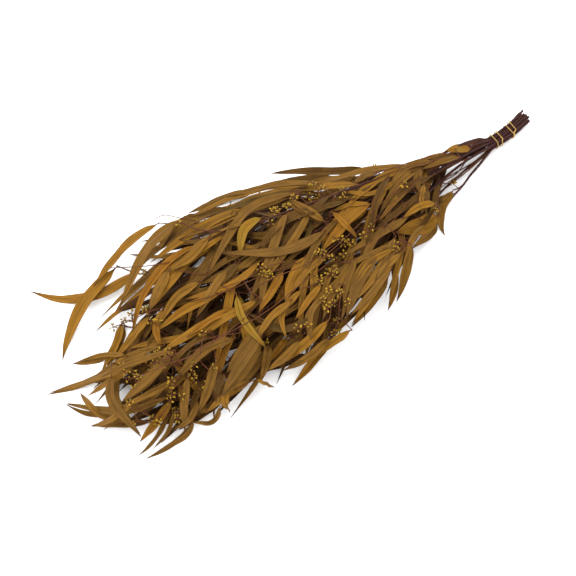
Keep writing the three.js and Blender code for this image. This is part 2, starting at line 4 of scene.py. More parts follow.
import bpy
import numpy as np
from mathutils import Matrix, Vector


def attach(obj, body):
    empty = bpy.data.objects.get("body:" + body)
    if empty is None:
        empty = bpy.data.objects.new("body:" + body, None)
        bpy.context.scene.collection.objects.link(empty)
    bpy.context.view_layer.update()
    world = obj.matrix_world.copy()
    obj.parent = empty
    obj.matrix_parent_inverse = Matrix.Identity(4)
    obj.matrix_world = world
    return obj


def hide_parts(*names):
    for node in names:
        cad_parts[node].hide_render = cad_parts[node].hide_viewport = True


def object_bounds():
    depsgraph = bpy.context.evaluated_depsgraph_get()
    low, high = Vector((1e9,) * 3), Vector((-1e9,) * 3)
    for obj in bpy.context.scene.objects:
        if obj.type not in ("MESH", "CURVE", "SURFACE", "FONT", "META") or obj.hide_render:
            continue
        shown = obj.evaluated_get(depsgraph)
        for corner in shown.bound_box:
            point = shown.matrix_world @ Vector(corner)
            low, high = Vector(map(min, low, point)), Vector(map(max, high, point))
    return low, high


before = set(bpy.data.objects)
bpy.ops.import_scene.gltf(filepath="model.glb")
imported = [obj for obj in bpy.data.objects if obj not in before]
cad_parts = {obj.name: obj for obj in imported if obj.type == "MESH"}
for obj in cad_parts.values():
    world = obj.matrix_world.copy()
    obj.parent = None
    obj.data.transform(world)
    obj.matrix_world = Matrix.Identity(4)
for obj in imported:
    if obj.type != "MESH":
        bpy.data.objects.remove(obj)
cad_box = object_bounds()


# How the bunch lies. Thirteen cut stems were stacked in the hand, tied, and laid down. Each
# stem here lies on all that was laid before it, by the same rule and the same random draws as
# the frame's solids. Lengths are millimetres until what was laid is moved into the frame.
CUT_END_X = 329
SPLAY_FROM_X = 304
SPLAY = 0.16
PACKED_TO_X = 260
BUNDLE_Y = 8
BUNDLE_BEND = 0.0026
FANNED_FROM_X = 205
STEM_RADIUS = 1.3
STEM_TIP_RADIUS = 0.7
STEM_PITCH = 3.6
ROW_RISE = STEM_PITCH * math.sqrt(0.75)
CUT_END_Z = 2.6
BUNDLE_SLOPE = 0.05
STEM_STATIONS = 15
CUT_END_SCATTER = 9
PACKED_STATIONS = 6
STATION_CROWDING = 1.2

TWIG_LEAN = 1.6
TWIG_RADIUS = 0.85
TWIG_TIP_RADIUS = 0.6
TWIG_STATIONS = 4
TWIG_LEAF_SPACING = 42
TWIG_START_GAP = 6
TWIG_STRAIGHT_SHARE = 0.45
TWIG_BEND_SHARE = 0.25
TWIG_FROM_SHARE = 0.3
TWIG_SHARE_STEP = 0.02

LEAF_LENGTH = (98, 148)
LEAF_WIDTH = (9, 13.5)
LEAF_THICKNESS = 0.85
LEAF_STATIONS = (0, 0.13, 0.4, 0.72, 1)
LEAF_WIDTH_SHARES = (0.09, 0.5, 1, 0.85, 0.08)
LEAF_SPREAD_DEG = (12, 42)
LEAF_TURN_DEG = (-20, 56)
LEAF_ROLL_DEG = 24
LEAF_TWIST_DEG = 36
LEAF_RISE = (-0.05, 0.2)
LEAF_DROOP = (0.15, 0.5)
LEAN_SHARE = 0.7
SHOWN_LEAF_RISE = 0.08
SHOWN_LEAF_DROOP = 0.3
LEFT_LACKING = 0.2
LEAF_TRIES = 7
LEAFY_FROM_LIMIT = 0.75
LEAVES_TO_SHARE = 0.95
LEAF_SCATTER = 0.6
TWIG_LEAF_OFFSET = 0.8
END_SHARE = 0.975
LAST_SHARE = 0.9999
END_LEAF_SIDE = 0.3

UMBEL_STALK = 10
UMBEL_SAMPLES = (0, 3, 6, 9)
UMBEL_HEIGHT_LIMIT = 18
UMBEL_TURN = 1.2
UMBEL_SHARES = (0.5, 0.95)
HUB_FORWARD = 0.7
HUB_RISE = 0.5
BUD_LIFT = 0.9
BUD_SCATTER = 0.4
BUD_RADIUS = 1.4
BUDS_PER_UMBEL = 4

INSET_X = 0.31
INSET_Y = 0.48
OUTLINE = [
    (235, 21), (125, 51), (22, 111), (-118, 129), (-221, 99), (-279, 97), (-287, 37), (-238, 22),
    (-317, 5), (-307, -51), (-273, -101), (-179, -127), (-17, -107), (55, -99), (101, -61),
    (165, -45),
]
LEAFY_FROM_X = (120, 145, 170)
LIVELINESS = (0.4, 0.7, 1.1)

# Each stem: its row and place in the bundle, its plan route beyond the band, its numbers of
# leaves and umbels, and its shown leaves as base, middle, tip and width.
STEMS = [
    (0, -1.5, [(180, -12), (110, -38), (40, -64), (-30, -84)], 8, 1,
     [((104, -53), (75, -81), (47, -103), 13), ((59, -72), (26, -87), (-13, -102), 14)]),
    (0, -0.5, [(180, -3), (60, -34), (-70, -70), (-165, -92)], 8, 1,
     [((-39, -106), (-73, -118), (-106, -126), 13), ((-219, -106), (-239, -114), (-275, -113), 12)]),
    (0, 0.5, [(180, 7), (60, 11), (-80, 16), (-190, 14)], 8, 1,
     [((-220, 33), (-237, 17), (-258, 1), 12), ((-246, 10), (-268, 14), (-288, 24), 12)]),
    (0, 1.5, [(180, 17), (80, 38), (-30, 62), (-120, 80)], 8, 1,
     [((91, 54), (43, 90), (3, 110), 14), ((-7, 104), (-46, 117), (-86, 123), 13)]),
    (1, -2, [(218, -14), (196, -22), (178, -28), (152, -40)], 3, 1,
     [((187, -20), (155, -37), (143, -63), 13), ((146, -46), (118, -58), (95, -62), 13)]),
    (1, -1, [(180, -7), (60, -36), (-60, -64), (-175, -88)], 8, 1,
     [((-229, -84), (-258, -105), (-280, -106), 12), ((-254, -87), (-280, -70), (-305, -50), 13),
      ((61, -79), (43, -100), (28, -111), 12)]),
    (1, 0, [(180, 3), (60, -5), (-90, -18), (-220, -34)], 8, 2,
     [((-237, -17), (-277, -8), (-327, 6), 13), ((-211, -61), (-279, -60), (-316, -14), 14),
      ((-256, -12), (-273, -49), (-268, -92), 12)]),
    (1, 1, [(180, 9), (60, 20), (-70, 38), (-165, 54)], 8, 1,
     [((-172, 80), (-238, 82), (-286, 129), 13), ((-192, 98), (-259, 68), (-295, 33), 14)]),
    (1, 2, [(190, 15), (120, 26), (50, 46), (-40, 70)], 8, 1,
     [((111, 36), (64, 66), (18, 113), 13), ((-128, 116), (-174, 108), (-226, 87), 14)]),
    (2, -1.5, [(180, -11), (90, -37), (0, -64), (-90, -88)], 8, 2,
     [((141, -50), (110, -50), (82, -46), 16), ((-111, -84), (-156, -97), (-200, -108), 17)]),
    (2, -0.5, [(180, -5), (60, -26), (-80, -48), (-195, -62)], 8, 2,
     [((-106, -18), (-115, -49), (-113, -90), 13), ((-30, -27), (-63, -48), (-80, -50), 15)]),
    (2, 0.5, [(180, 1), (60, -6), (-80, -8), (-200, -14)], 8, 2,
     [((72, -12), (28, -13), (-6, -30), 14), ((-49, 44), (-69, 33), (-80, 17), 12),
      ((-108, 41), (-162, 32), (-195, 17), 13)]),
    (2, 1.5, [(180, 6), (70, 14), (-40, 28), (-125, 46)], 8, 2,
     [((-119, 80), (-171, 65), (-216, 35), 13), ((-7, 33), (1, 11), (16, -5), 14)]),
]

# How slim each stem's shown leaves are beside the solids' ones, and their tones
SHOWN_LOOKS = [
    [(0.70, 0.68), (0.75, 0.74)],
    [(0.75, 0.80), (0.50, 0.50)],
    [(0.80, 0.72), (0.55, 0.60)],
    [(0.85, 0.30), (0.90, 0.42)],
    [(0.80, 0.64), (0.75, 0.62)],
    [(0.45, 0.50), (0.70, 0.50), (0.65, 0.66)],
    [(0.62, 0.55), (0.68, 0.50), (0.85, 0.42)],
    [(0.95, 0.78), (1.00, 0.74)],
    [(0.80, 0.25), (1.00, 0.74)],
    [(1.25, 0.74), (1.05, 0.48)],
    [(0.80, 0.97), (0.80, 0.80)],
    [(1.20, 0.80), (0.90, 0.97), (0.95, 0.68)],
    [(0.95, 0.50), (0.80, 0.35)],
]

DRAW_FACTOR = 16807
DRAW_LIMIT = 2147483647
DRAW_SEED = 20731
draw_state = [DRAW_SEED]


def draw():
    """A random number from 0 to 1, the same on every run."""
    draw_state[0] = draw_state[0] * DRAW_FACTOR % DRAW_LIMIT
    return draw_state[0] / DRAW_LIMIT


def mix(a, b, share):
    return a + (b - a) * share


def draw_between(limits):
    return mix(limits[0], limits[1], draw())


# The pile is the height of what lies there, over a grid of square cells. The cushion is the
# same surface with its cliffs eased to a gentle slope, for the next stem to lie on.
CELL = 3
GRID_X = -400
GRID_Y = -220
CELLS_X = 260
CELLS_Y = 150
PILE_GAP = 0.4
CUSHION_SLOPE = 0.4
pile = [0.0] * (CELLS_X * CELLS_Y)
cushion = [0.0] * (CELLS_X * CELLS_Y)
fresh_tops = [0.0] * (CELLS_X * CELLS_Y)


def cell_of(x, y):
    i = min(max(math.floor((x - GRID_X) / CELL), 1), CELLS_X - 2)
    j = min(max(math.floor((y - GRID_Y) / CELL), 1), CELLS_Y - 2)
    return i * CELLS_Y + j


def mark_top(x, y, z):
    cell = cell_of(x, y)
    fresh_tops[cell] = max(fresh_tops[cell], z)


def settle_pile():
    """Adds a finished stem's tops to the pile and eases the cushion from cell to cell both ways."""
    aslant = CUSHION_SLOPE * CELL * math.sqrt(2)
    straight = CUSHION_SLOPE * CELL
    for cell, top in enumerate(fresh_tops):
        pile[cell] = max(pile[cell], top)
        fresh_tops[cell] = 0.0
    cushion[:] = pile
    rows = range(1, CELLS_X - 1)
    columns = range(1, CELLS_Y - 1)
    for way, rows_in_turn, columns_in_turn in ((1, rows, columns), (-1, rows[::-1], columns[::-1])):
        for i in rows_in_turn:
            for cell in (i * CELLS_Y + j for j in columns_in_turn):
                cushion[cell] = max(
                    cushion[cell],
                    cushion[cell - way] - straight,
                    cushion[cell - way * CELLS_Y] - straight,
                    cushion[cell - way * (CELLS_Y + 1)] - aslant,
                    cushion[cell - way * (CELLS_Y - 1)] - aslant,
                )


def clear_height(tops, x, y):
    """How high an underside has to be at a point of the plan to clear the tops round it."""
    cell = cell_of(x, y)
    top = 0
    for start in (cell - CELLS_Y, cell, cell + CELLS_Y):
        top = max(top, tops[start - 1], tops[start], tops[start + 1])
    return top + PILE_GAP if top > 0 else 0


class Station:
    """A point of a path: its place, plan heading, half width, half thickness (deep) and roll."""

    def __init__(self, x, y, z, deep=0.0, half=0.0):
        self.x = x
        self.y = y
        self.z = z
        self.deep = deep
        self.half = half
        self.roll = 0.0
        self.heading = 0.0


def plan_distance(a, b):
    return math.hypot(b.x - a.x, b.y - a.y)


def place_between(a, b, share):
    return [mix(getattr(a, key), getattr(b, key), share) for key in "xyz"]


def point_between(a, b, share):
    """A point between two stations, with the heading there."""
    point = Station(*place_between(a, b, share))
    point.heading = math.atan2(b.y - a.y, b.x - a.x)
    return point


def face_point(a, b, along, across, side):
    """A point between two stations, across from -1 to 1, on the upper face or (-1) the underside."""
    point = [0.0, 0.0, 0.0]
    for p, share in ((a, 1 - along), (b, along)):
        reach = across * p.half * math.cos(p.roll) - side * p.deep * math.sin(p.roll)
        rise = across * p.half * math.sin(p.roll) + side * p.deep * math.cos(p.roll)
        point[0] += share * (p.x - math.sin(p.heading) * reach)
        point[1] += share * (p.y + math.cos(p.heading) * reach)
        point[2] += share * (p.z + rise)
    return point


SAMPLE_STEP = 3
ACROSS_SHARES = (-1, -0.5, 0, 0.5, 1)
LIFT_SWEEPS = 5


def upper_points(path, row_step=SAMPLE_STEP, width_share=1):
    """Points of a path's upper face, in rows across it."""
    for a, b in zip(path, path[1:]):
        steps = math.ceil(plan_distance(a, b) / row_step)
        for step in range(steps + 1):
            for across in ACROSS_SHARES:
                yield face_point(a, b, step / steps, across * width_share, 1)


def lift_clear(path, fixed, tops, reach, limit, clear_over=clear_height):
    """Lifts the stations after the fixed ones until they clear the tops, each by the limit at most.

    What lies nearer to the base than the reach may touch. Returns the worst height still lacking.
    """
    lifts = [0.0] * len(path)
    worst = 0
    for _ in range(LIFT_SWEEPS):
        worst = 0
        from_base = 0
        for k in range(fixed - 1, len(path) - 1):
            a, b = path[k], path[k + 1]
            length = plan_distance(a, b)
            steps = math.ceil(length / SAMPLE_STEP)
            for step in range(1, steps + 1):
                share = step / steps
                if from_base + share * length < reach:
                    continue
                lack = 0
                for across in ACROSS_SHARES:
                    x, y, z = face_point(a, b, share, across, -1)
                    lack = max(lack, clear_over(tops, x, y) - z)
                if lack == 0:
                    continue
                worst = max(worst, lack)
                spread = (1 - share) ** 2 + share ** 2
                far_lift = lack * share / spread if k >= fixed else lack
                for end, height in ((k, lack * (1 - share) / spread), (k + 1, far_lift)):
                    if end < fixed:
                        continue
                    rise = min(height, limit - lifts[end])
                    lifts[end] += rise
                    path[end].z += rise
            from_base += length
        if worst == 0:
            break
    return worst


TOUCHING_REACH = 5
OWN_REACH = 14
OWN_LIFT_LIMIT = 3.5


def lay_down(path, fixed):
    """Lays a path on the cushion, over its own stem's earlier parts and clear of the pile."""
    for p in path[fixed:]:
        low = cushion[cell_of(p.x, p.y)]
        under = p.deep * math.cos(p.roll) + p.half * abs(math.sin(p.roll))
        p.z = max(p.z, low + under + (PILE_GAP if low > 0 else 0))
    lift_clear(path, fixed, fresh_tops, OWN_REACH, OWN_LIFT_LIMIT)
    return lift_clear(path, fixed, pile, TOUCHING_REACH, math.inf)


def pull_tight(path, fixed):
    """Raises the stations that sag below a straight line between others, as on a stiff stem."""
    for i in range(fixed - 1, len(path)):
        for j in range(i + 2, len(path)):
            for k in range(i + 1, j):
                path[k].z = max(path[k].z, mix(path[i].z, path[j].z, (k - i) / (j - i)))


def mark_path(path, to_x=math.inf):
    """Marks the tops of a path, up to a place along the bunch."""
    for x, y, z in upper_points(path):
        if x < to_x:
            mark_top(x, y, z)


def route_point(points, t):
    """The point of a smooth curve through points, t from 0 to 1."""
    along = min(max(t, 0), 1) * (len(points) - 1)
    i = min(math.floor(along), len(points) - 2)
    u = along - i
    p0, p1, p2, p3 = (points[min(max(i + k, 0), len(points) - 1)] for k in (-1, 0, 1, 2))
    return [
        0.5 * (2 * p1[n] + (p2[n] - p0[n]) * u
               + (2 * p0[n] - 5 * p1[n] + 4 * p2[n] - p3[n]) * u ** 2
               + (3 * p1[n] - p0[n] - 3 * p2[n] + p3[n]) * u ** 3)
        for n in range(len(p0))
    ]


def set_headings(path):
    for k, p in enumerate(path):
        before = path[max(k - 1, 0)]
        after = path[min(k + 1, len(path) - 1)]
        p.heading = math.atan2(after.y - before.y, after.x - before.x)


def on_path(path, share):
    """The point of a path at a share of its stations, with the heading there."""
    along = min(max(share, 0), LAST_SHARE) * (len(path) - 1)
    k = math.floor(along)
    return point_between(path[k], path[k + 1], along - k)


def bundle_place(row, place, x):
    """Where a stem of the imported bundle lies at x, across and up."""
    splay = 1 + SPLAY * min(max((x - SPLAY_FROM_X) / (CUT_END_X - SPLAY_FROM_X), 0), 1)
    bend = BUNDLE_BEND * max(0, x - PACKED_TO_X) ** 2
    y = BUNDLE_Y + bend + place * STEM_PITCH * splay
    return y, CUT_END_Z + (CUT_END_X - x) * BUNDLE_SLOPE + row * ROW_RISE * splay


def stem_path(row, place, route):
    cut_x = CUT_END_X - CUT_END_SCATTER * draw()
    path = []
    for k in range(PACKED_STATIONS):
        x = mix(cut_x, PACKED_TO_X, k / (PACKED_STATIONS - 1))
        path.append(Station(x, *bundle_place(row, place, x)))
    points = [(path[-1].x, path[-1].y), *route]
    free = STEM_STATIONS - PACKED_STATIONS
    for k in range(1, free + 1):
        path.append(Station(*route_point(points, (k / free) ** STATION_CROWDING), STEM_RADIUS))
    for k, p in enumerate(path):
        p.deep = mix(STEM_RADIUS, STEM_TIP_RADIUS, max(0, k - PACKED_STATIONS) / (free - 1))
        p.half = p.deep
    set_headings(path)
    lay_down(path, PACKED_STATIONS)
    pull_tight(path, PACKED_STATIONS)
    return path


def twig_path(stem_line, end):
    """A side twig that leaves its stem at an easy angle and ends at a point of the plan."""
    best = None
    share = TWIG_FROM_SHARE
    while share < 1:
        p = on_path(stem_line, share)
        aside = abs(math.sin(p.heading) * (end[0] - p.x) - math.cos(p.heading) * (end[1] - p.y))
        along = math.cos(p.heading) * (end[0] - p.x) + math.sin(p.heading) * (end[1] - p.y)
        miss = abs(along - TWIG_LEAN * aside - TWIG_START_GAP)
        if best is None or miss < best[0]:
            best = (miss, p, along)
        share += TWIG_SHARE_STEP
    _, p, along = best
    ahead = TWIG_STRAIGHT_SHARE * along
    bend = (p.x + math.cos(p.heading) * ahead, p.y + math.sin(p.heading) * ahead)
    middle = [mix(bend[n], end[n], TWIG_BEND_SHARE) for n in (0, 1)]
    path = []
    for k in range(TWIG_STATIONS):
        share = k / (TWIG_STATIONS - 1)
        deep = mix(TWIG_RADIUS, TWIG_TIP_RADIUS, share)
        path.append(Station(*route_point([(p.x, p.y), middle, end], share), p.z, deep, deep))
    set_headings(path)
    lay_down(path, 1)
    pull_tight(path, 1)
    return path


def heights_beside(p):
    """The height of the cushion below the left and the right edge of a station."""
    edges = (face_point(p, p, 0, across, -1) for across in (1, -1))
    return [cushion[cell_of(x, y)] for x, y, _ in edges]


def finish_leaf(path, width, roll, twist):
    """Gives a leaf its widths, leans it on what lies beside it and lays it down."""
    for k, p in enumerate(path):
        p.half = (width / 2) * LEAF_WIDTH_SHARES[k]
        p.deep = LEAF_THICKNESS / 2
        p.roll = 0.0
        left_height, right_height = heights_beside(p)
        lean = math.atan2(left_height - right_height, 2 * p.half + CELL)
        free = roll + twist * LEAF_STATIONS[k] if left_height + right_height > 0 else 0
        p.roll = (LEAN_SHARE * lean + free) * min(1, k / 2)
    return lay_down(path, 1)


def natural_height(base, length, rise, droop, share):
    """How high a leaf that nothing touches is at a share of its length."""
    return max(base.z + length * (rise * share - droop * share ** 2), LEAF_THICKNESS / 2)


def shown_leaf_path(base, middle, tip, width):
    length = math.hypot(tip[0] - base.x, tip[1] - base.y)
    path = []
    for share in LEAF_STATIONS:
        x, y = route_point([(base.x, base.y), middle, tip], share)
        z = natural_height(base, length, SHOWN_LEAF_RISE, SHOWN_LEAF_DROOP, share)
        path.append(Station(x, y, z))
    set_headings(path)
    finish_leaf(path, width, math.radians(mix(-LEAF_ROLL_DEG, LEAF_ROLL_DEG, draw())), 0)
    return path


def is_within(x, y, polygon):
    within = False
    for (x1, y1), (x2, y2) in zip(polygon, polygon[1:] + polygon[:1]):
        if (y1 > y) != (y2 > y) and x < mix(x1, x2, (y - y1) / (y2 - y1)):
            within = not within
    return within


def is_inside(p):
    return is_within(p.x + INSET_X * p.z, p.y + INSET_Y * p.z, OUTLINE)


def ruled_leaf_path(base, side, liveliness):
    """A leaf by the rule that spreads to a side of what it grows from, or None where none fits."""
    for attempt in range(LEAF_TRIES):
        way = -side if attempt % 2 else side
        length = draw_between(LEAF_LENGTH)
        width = draw_between(LEAF_WIDTH)
        spread = way * math.radians(draw_between(LEAF_SPREAD_DEG))
        turn = math.radians(draw_between(LEAF_TURN_DEG))
        roll = liveliness * math.radians(mix(-LEAF_ROLL_DEG, LEAF_ROLL_DEG, draw()))
        twist = liveliness * math.radians(mix(-LEAF_TWIST_DEG, LEAF_TWIST_DEG, draw()))
        rise = draw_between(LEAF_RISE)
        droop = draw_between(LEAF_DROOP)
        path = []
        x, y, before = base.x, base.y, 0
        for share in LEAF_STATIONS:
            heading = base.heading + spread + turn * (share + before) / 2
            x += math.cos(heading) * (share - before) * length
            y += math.sin(heading) * (share - before) * length
            before = share
            path.append(Station(x, y, natural_height(base, length, rise, droop, share)))
        set_headings(path)
        lacking = finish_leaf(path, width, roll, twist)
        if lacking < LEFT_LACKING and all(is_inside(p) for p in path[2:]):
            return path
    return None


def aim_of(turn, lift):
    """The unit vector that is turned in plan and lifted by two angles."""
    return math.cos(turn) * math.cos(lift), math.sin(turn) * math.cos(lift), math.sin(lift)


def umbel_plan(base):
    """A stalk's base, its hub above the pile, and the ways in which the buds spread from it."""
    away = base.heading + mix(-UMBEL_TURN, UMBEL_TURN, draw())
    hub = Station(
        base.x + math.cos(away) * UMBEL_STALK * HUB_FORWARD,
        base.y + math.sin(away) * UMBEL_STALK * HUB_FORWARD,
        base.z + UMBEL_STALK * HUB_RISE,
    )
    aims = []
    for k in range(BUDS_PER_UMBEL):
        around = away + 2 * math.pi * (k + BUD_SCATTER * draw()) / BUDS_PER_UMBEL
        lift = BUD_LIFT * draw()
        aims.append(aim_of(around, lift))
    for wx, wy, wz in aims:
        for reach in UMBEL_SAMPLES:
            below = clear_height(pile, hub.x + wx * reach, hub.y + wy * reach)
            hub.z = max(hub.z, below + BUD_RADIUS - wz * reach)
    if hub.z - base.z > UMBEL_HEIGHT_LIMIT:
        return None
    for wx, wy, wz in aims:
        for reach in UMBEL_SAMPLES:
            mark_top(hub.x + wx * reach, hub.y + wy * reach, hub.z + wz * reach + BUD_RADIUS)
    return base, hub, aims


def lay_stem(row, place, route, leaf_count, umbel_count, shown):
    """Lays one stem on the pile. Returns its line, its twigs, its leaves and its umbels."""
    line = stem_path(row, place, route)
    mark_path(line, FANNED_FROM_X)
    twigs, leaves, umbels = [], [], []

    def add_leaf(leaf):
        if leaf:
            mark_path(leaf)
            leaves.append(leaf)

    for base, middle, tip, width in shown:
        twig = twig_path(line, base)
        mark_path(twig)
        twigs.append(twig)
        add_leaf(shown_leaf_path(on_path(twig, END_SHARE), middle, tip, width))
    for twig in twigs:
        count = int(plan_distance(twig[0], twig[-1]) / TWIG_LEAF_SPACING)
        for k in reversed(range(count)):
            base = on_path(twig, (k + TWIG_LEAF_OFFSET) / count)
            add_leaf(ruled_leaf_path(base, 1 if k % 2 else -1, LIVELINESS[row]))
    add_leaf(ruled_leaf_path(on_path(line, END_SHARE), END_LEAF_SIDE, LIVELINESS[row]))
    bare_share = sum(p.x > LEAFY_FROM_X[row] for p in line) / len(line)
    leafy_from = min(bare_share, LEAFY_FROM_LIMIT)
    for k in reversed(range(leaf_count)):
        along = (k + LEAF_SCATTER * draw()) / leaf_count
        base = on_path(line, mix(leafy_from, LEAVES_TO_SHARE, along))
        add_leaf(ruled_leaf_path(base, 1 if k % 2 else -1, LIVELINESS[row]))
    for k in range(umbel_count):
        umbel = umbel_plan(on_path(twigs[k % len(twigs)], draw_between(UMBEL_SHARES)))
        if umbel:
            umbels.append(umbel)
    settle_pile()
    return line, twigs, leaves, umbels


laid_stems = [lay_stem(*stem) for stem in STEMS]


# The top and the filling of the bunch. The leaves, twigs and bud clusters that show on top are
# given by their pixels. Each is laid on the pile where the view's rays through its pixels meet
# it, and grows from the nearest wood on a thin twig of its own.
VIEW_TARGET = (-44, -23, 0)
VIEW_AZIMUTH = math.radians(-33)
VIEW_ELEVATION = math.radians(60)
VIEW_DISTANCE = 1242
VIEW_LENS = 70
VIEW_SENSOR = 36
PICTURE_SIDE = 576

TOP_LIMIT = 74.5
TOP_LIMITS = (60, 73)
TOP_SLIMNESS = 0.9
TOP_STATIONS = (0, 0.1, 0.25, 0.4, 0.55, 0.7, 0.85, 1)
TOP_WIDTH_SHARES = (0.1, 0.5, 0.9, 1, 1, 0.85, 0.5, 0.06)
TOP_GAP = 0.3
TOP_STEEPEST = (0.6, 1.1)
TOP_SWEEPS = 4
TOP_SAG = 1.2
BOX_X = (-326, 327)
BOX_Y = (-123, 126)
TOP_ROLL_LIMIT = 0.6
WOOD_SAMPLE = 5
JOIN_BACK = 14
BEHIND_WEIGHT = 0.8
HEIGHT_WEIGHT = 1.5
FINE_TWIG_RADII = (0.66, 0.62, 0.56, 0.5)
FINE_TWIG_REACH = 0.35
FINE_TWIG_RISE = 0.6
VIEW_PASSES = 3

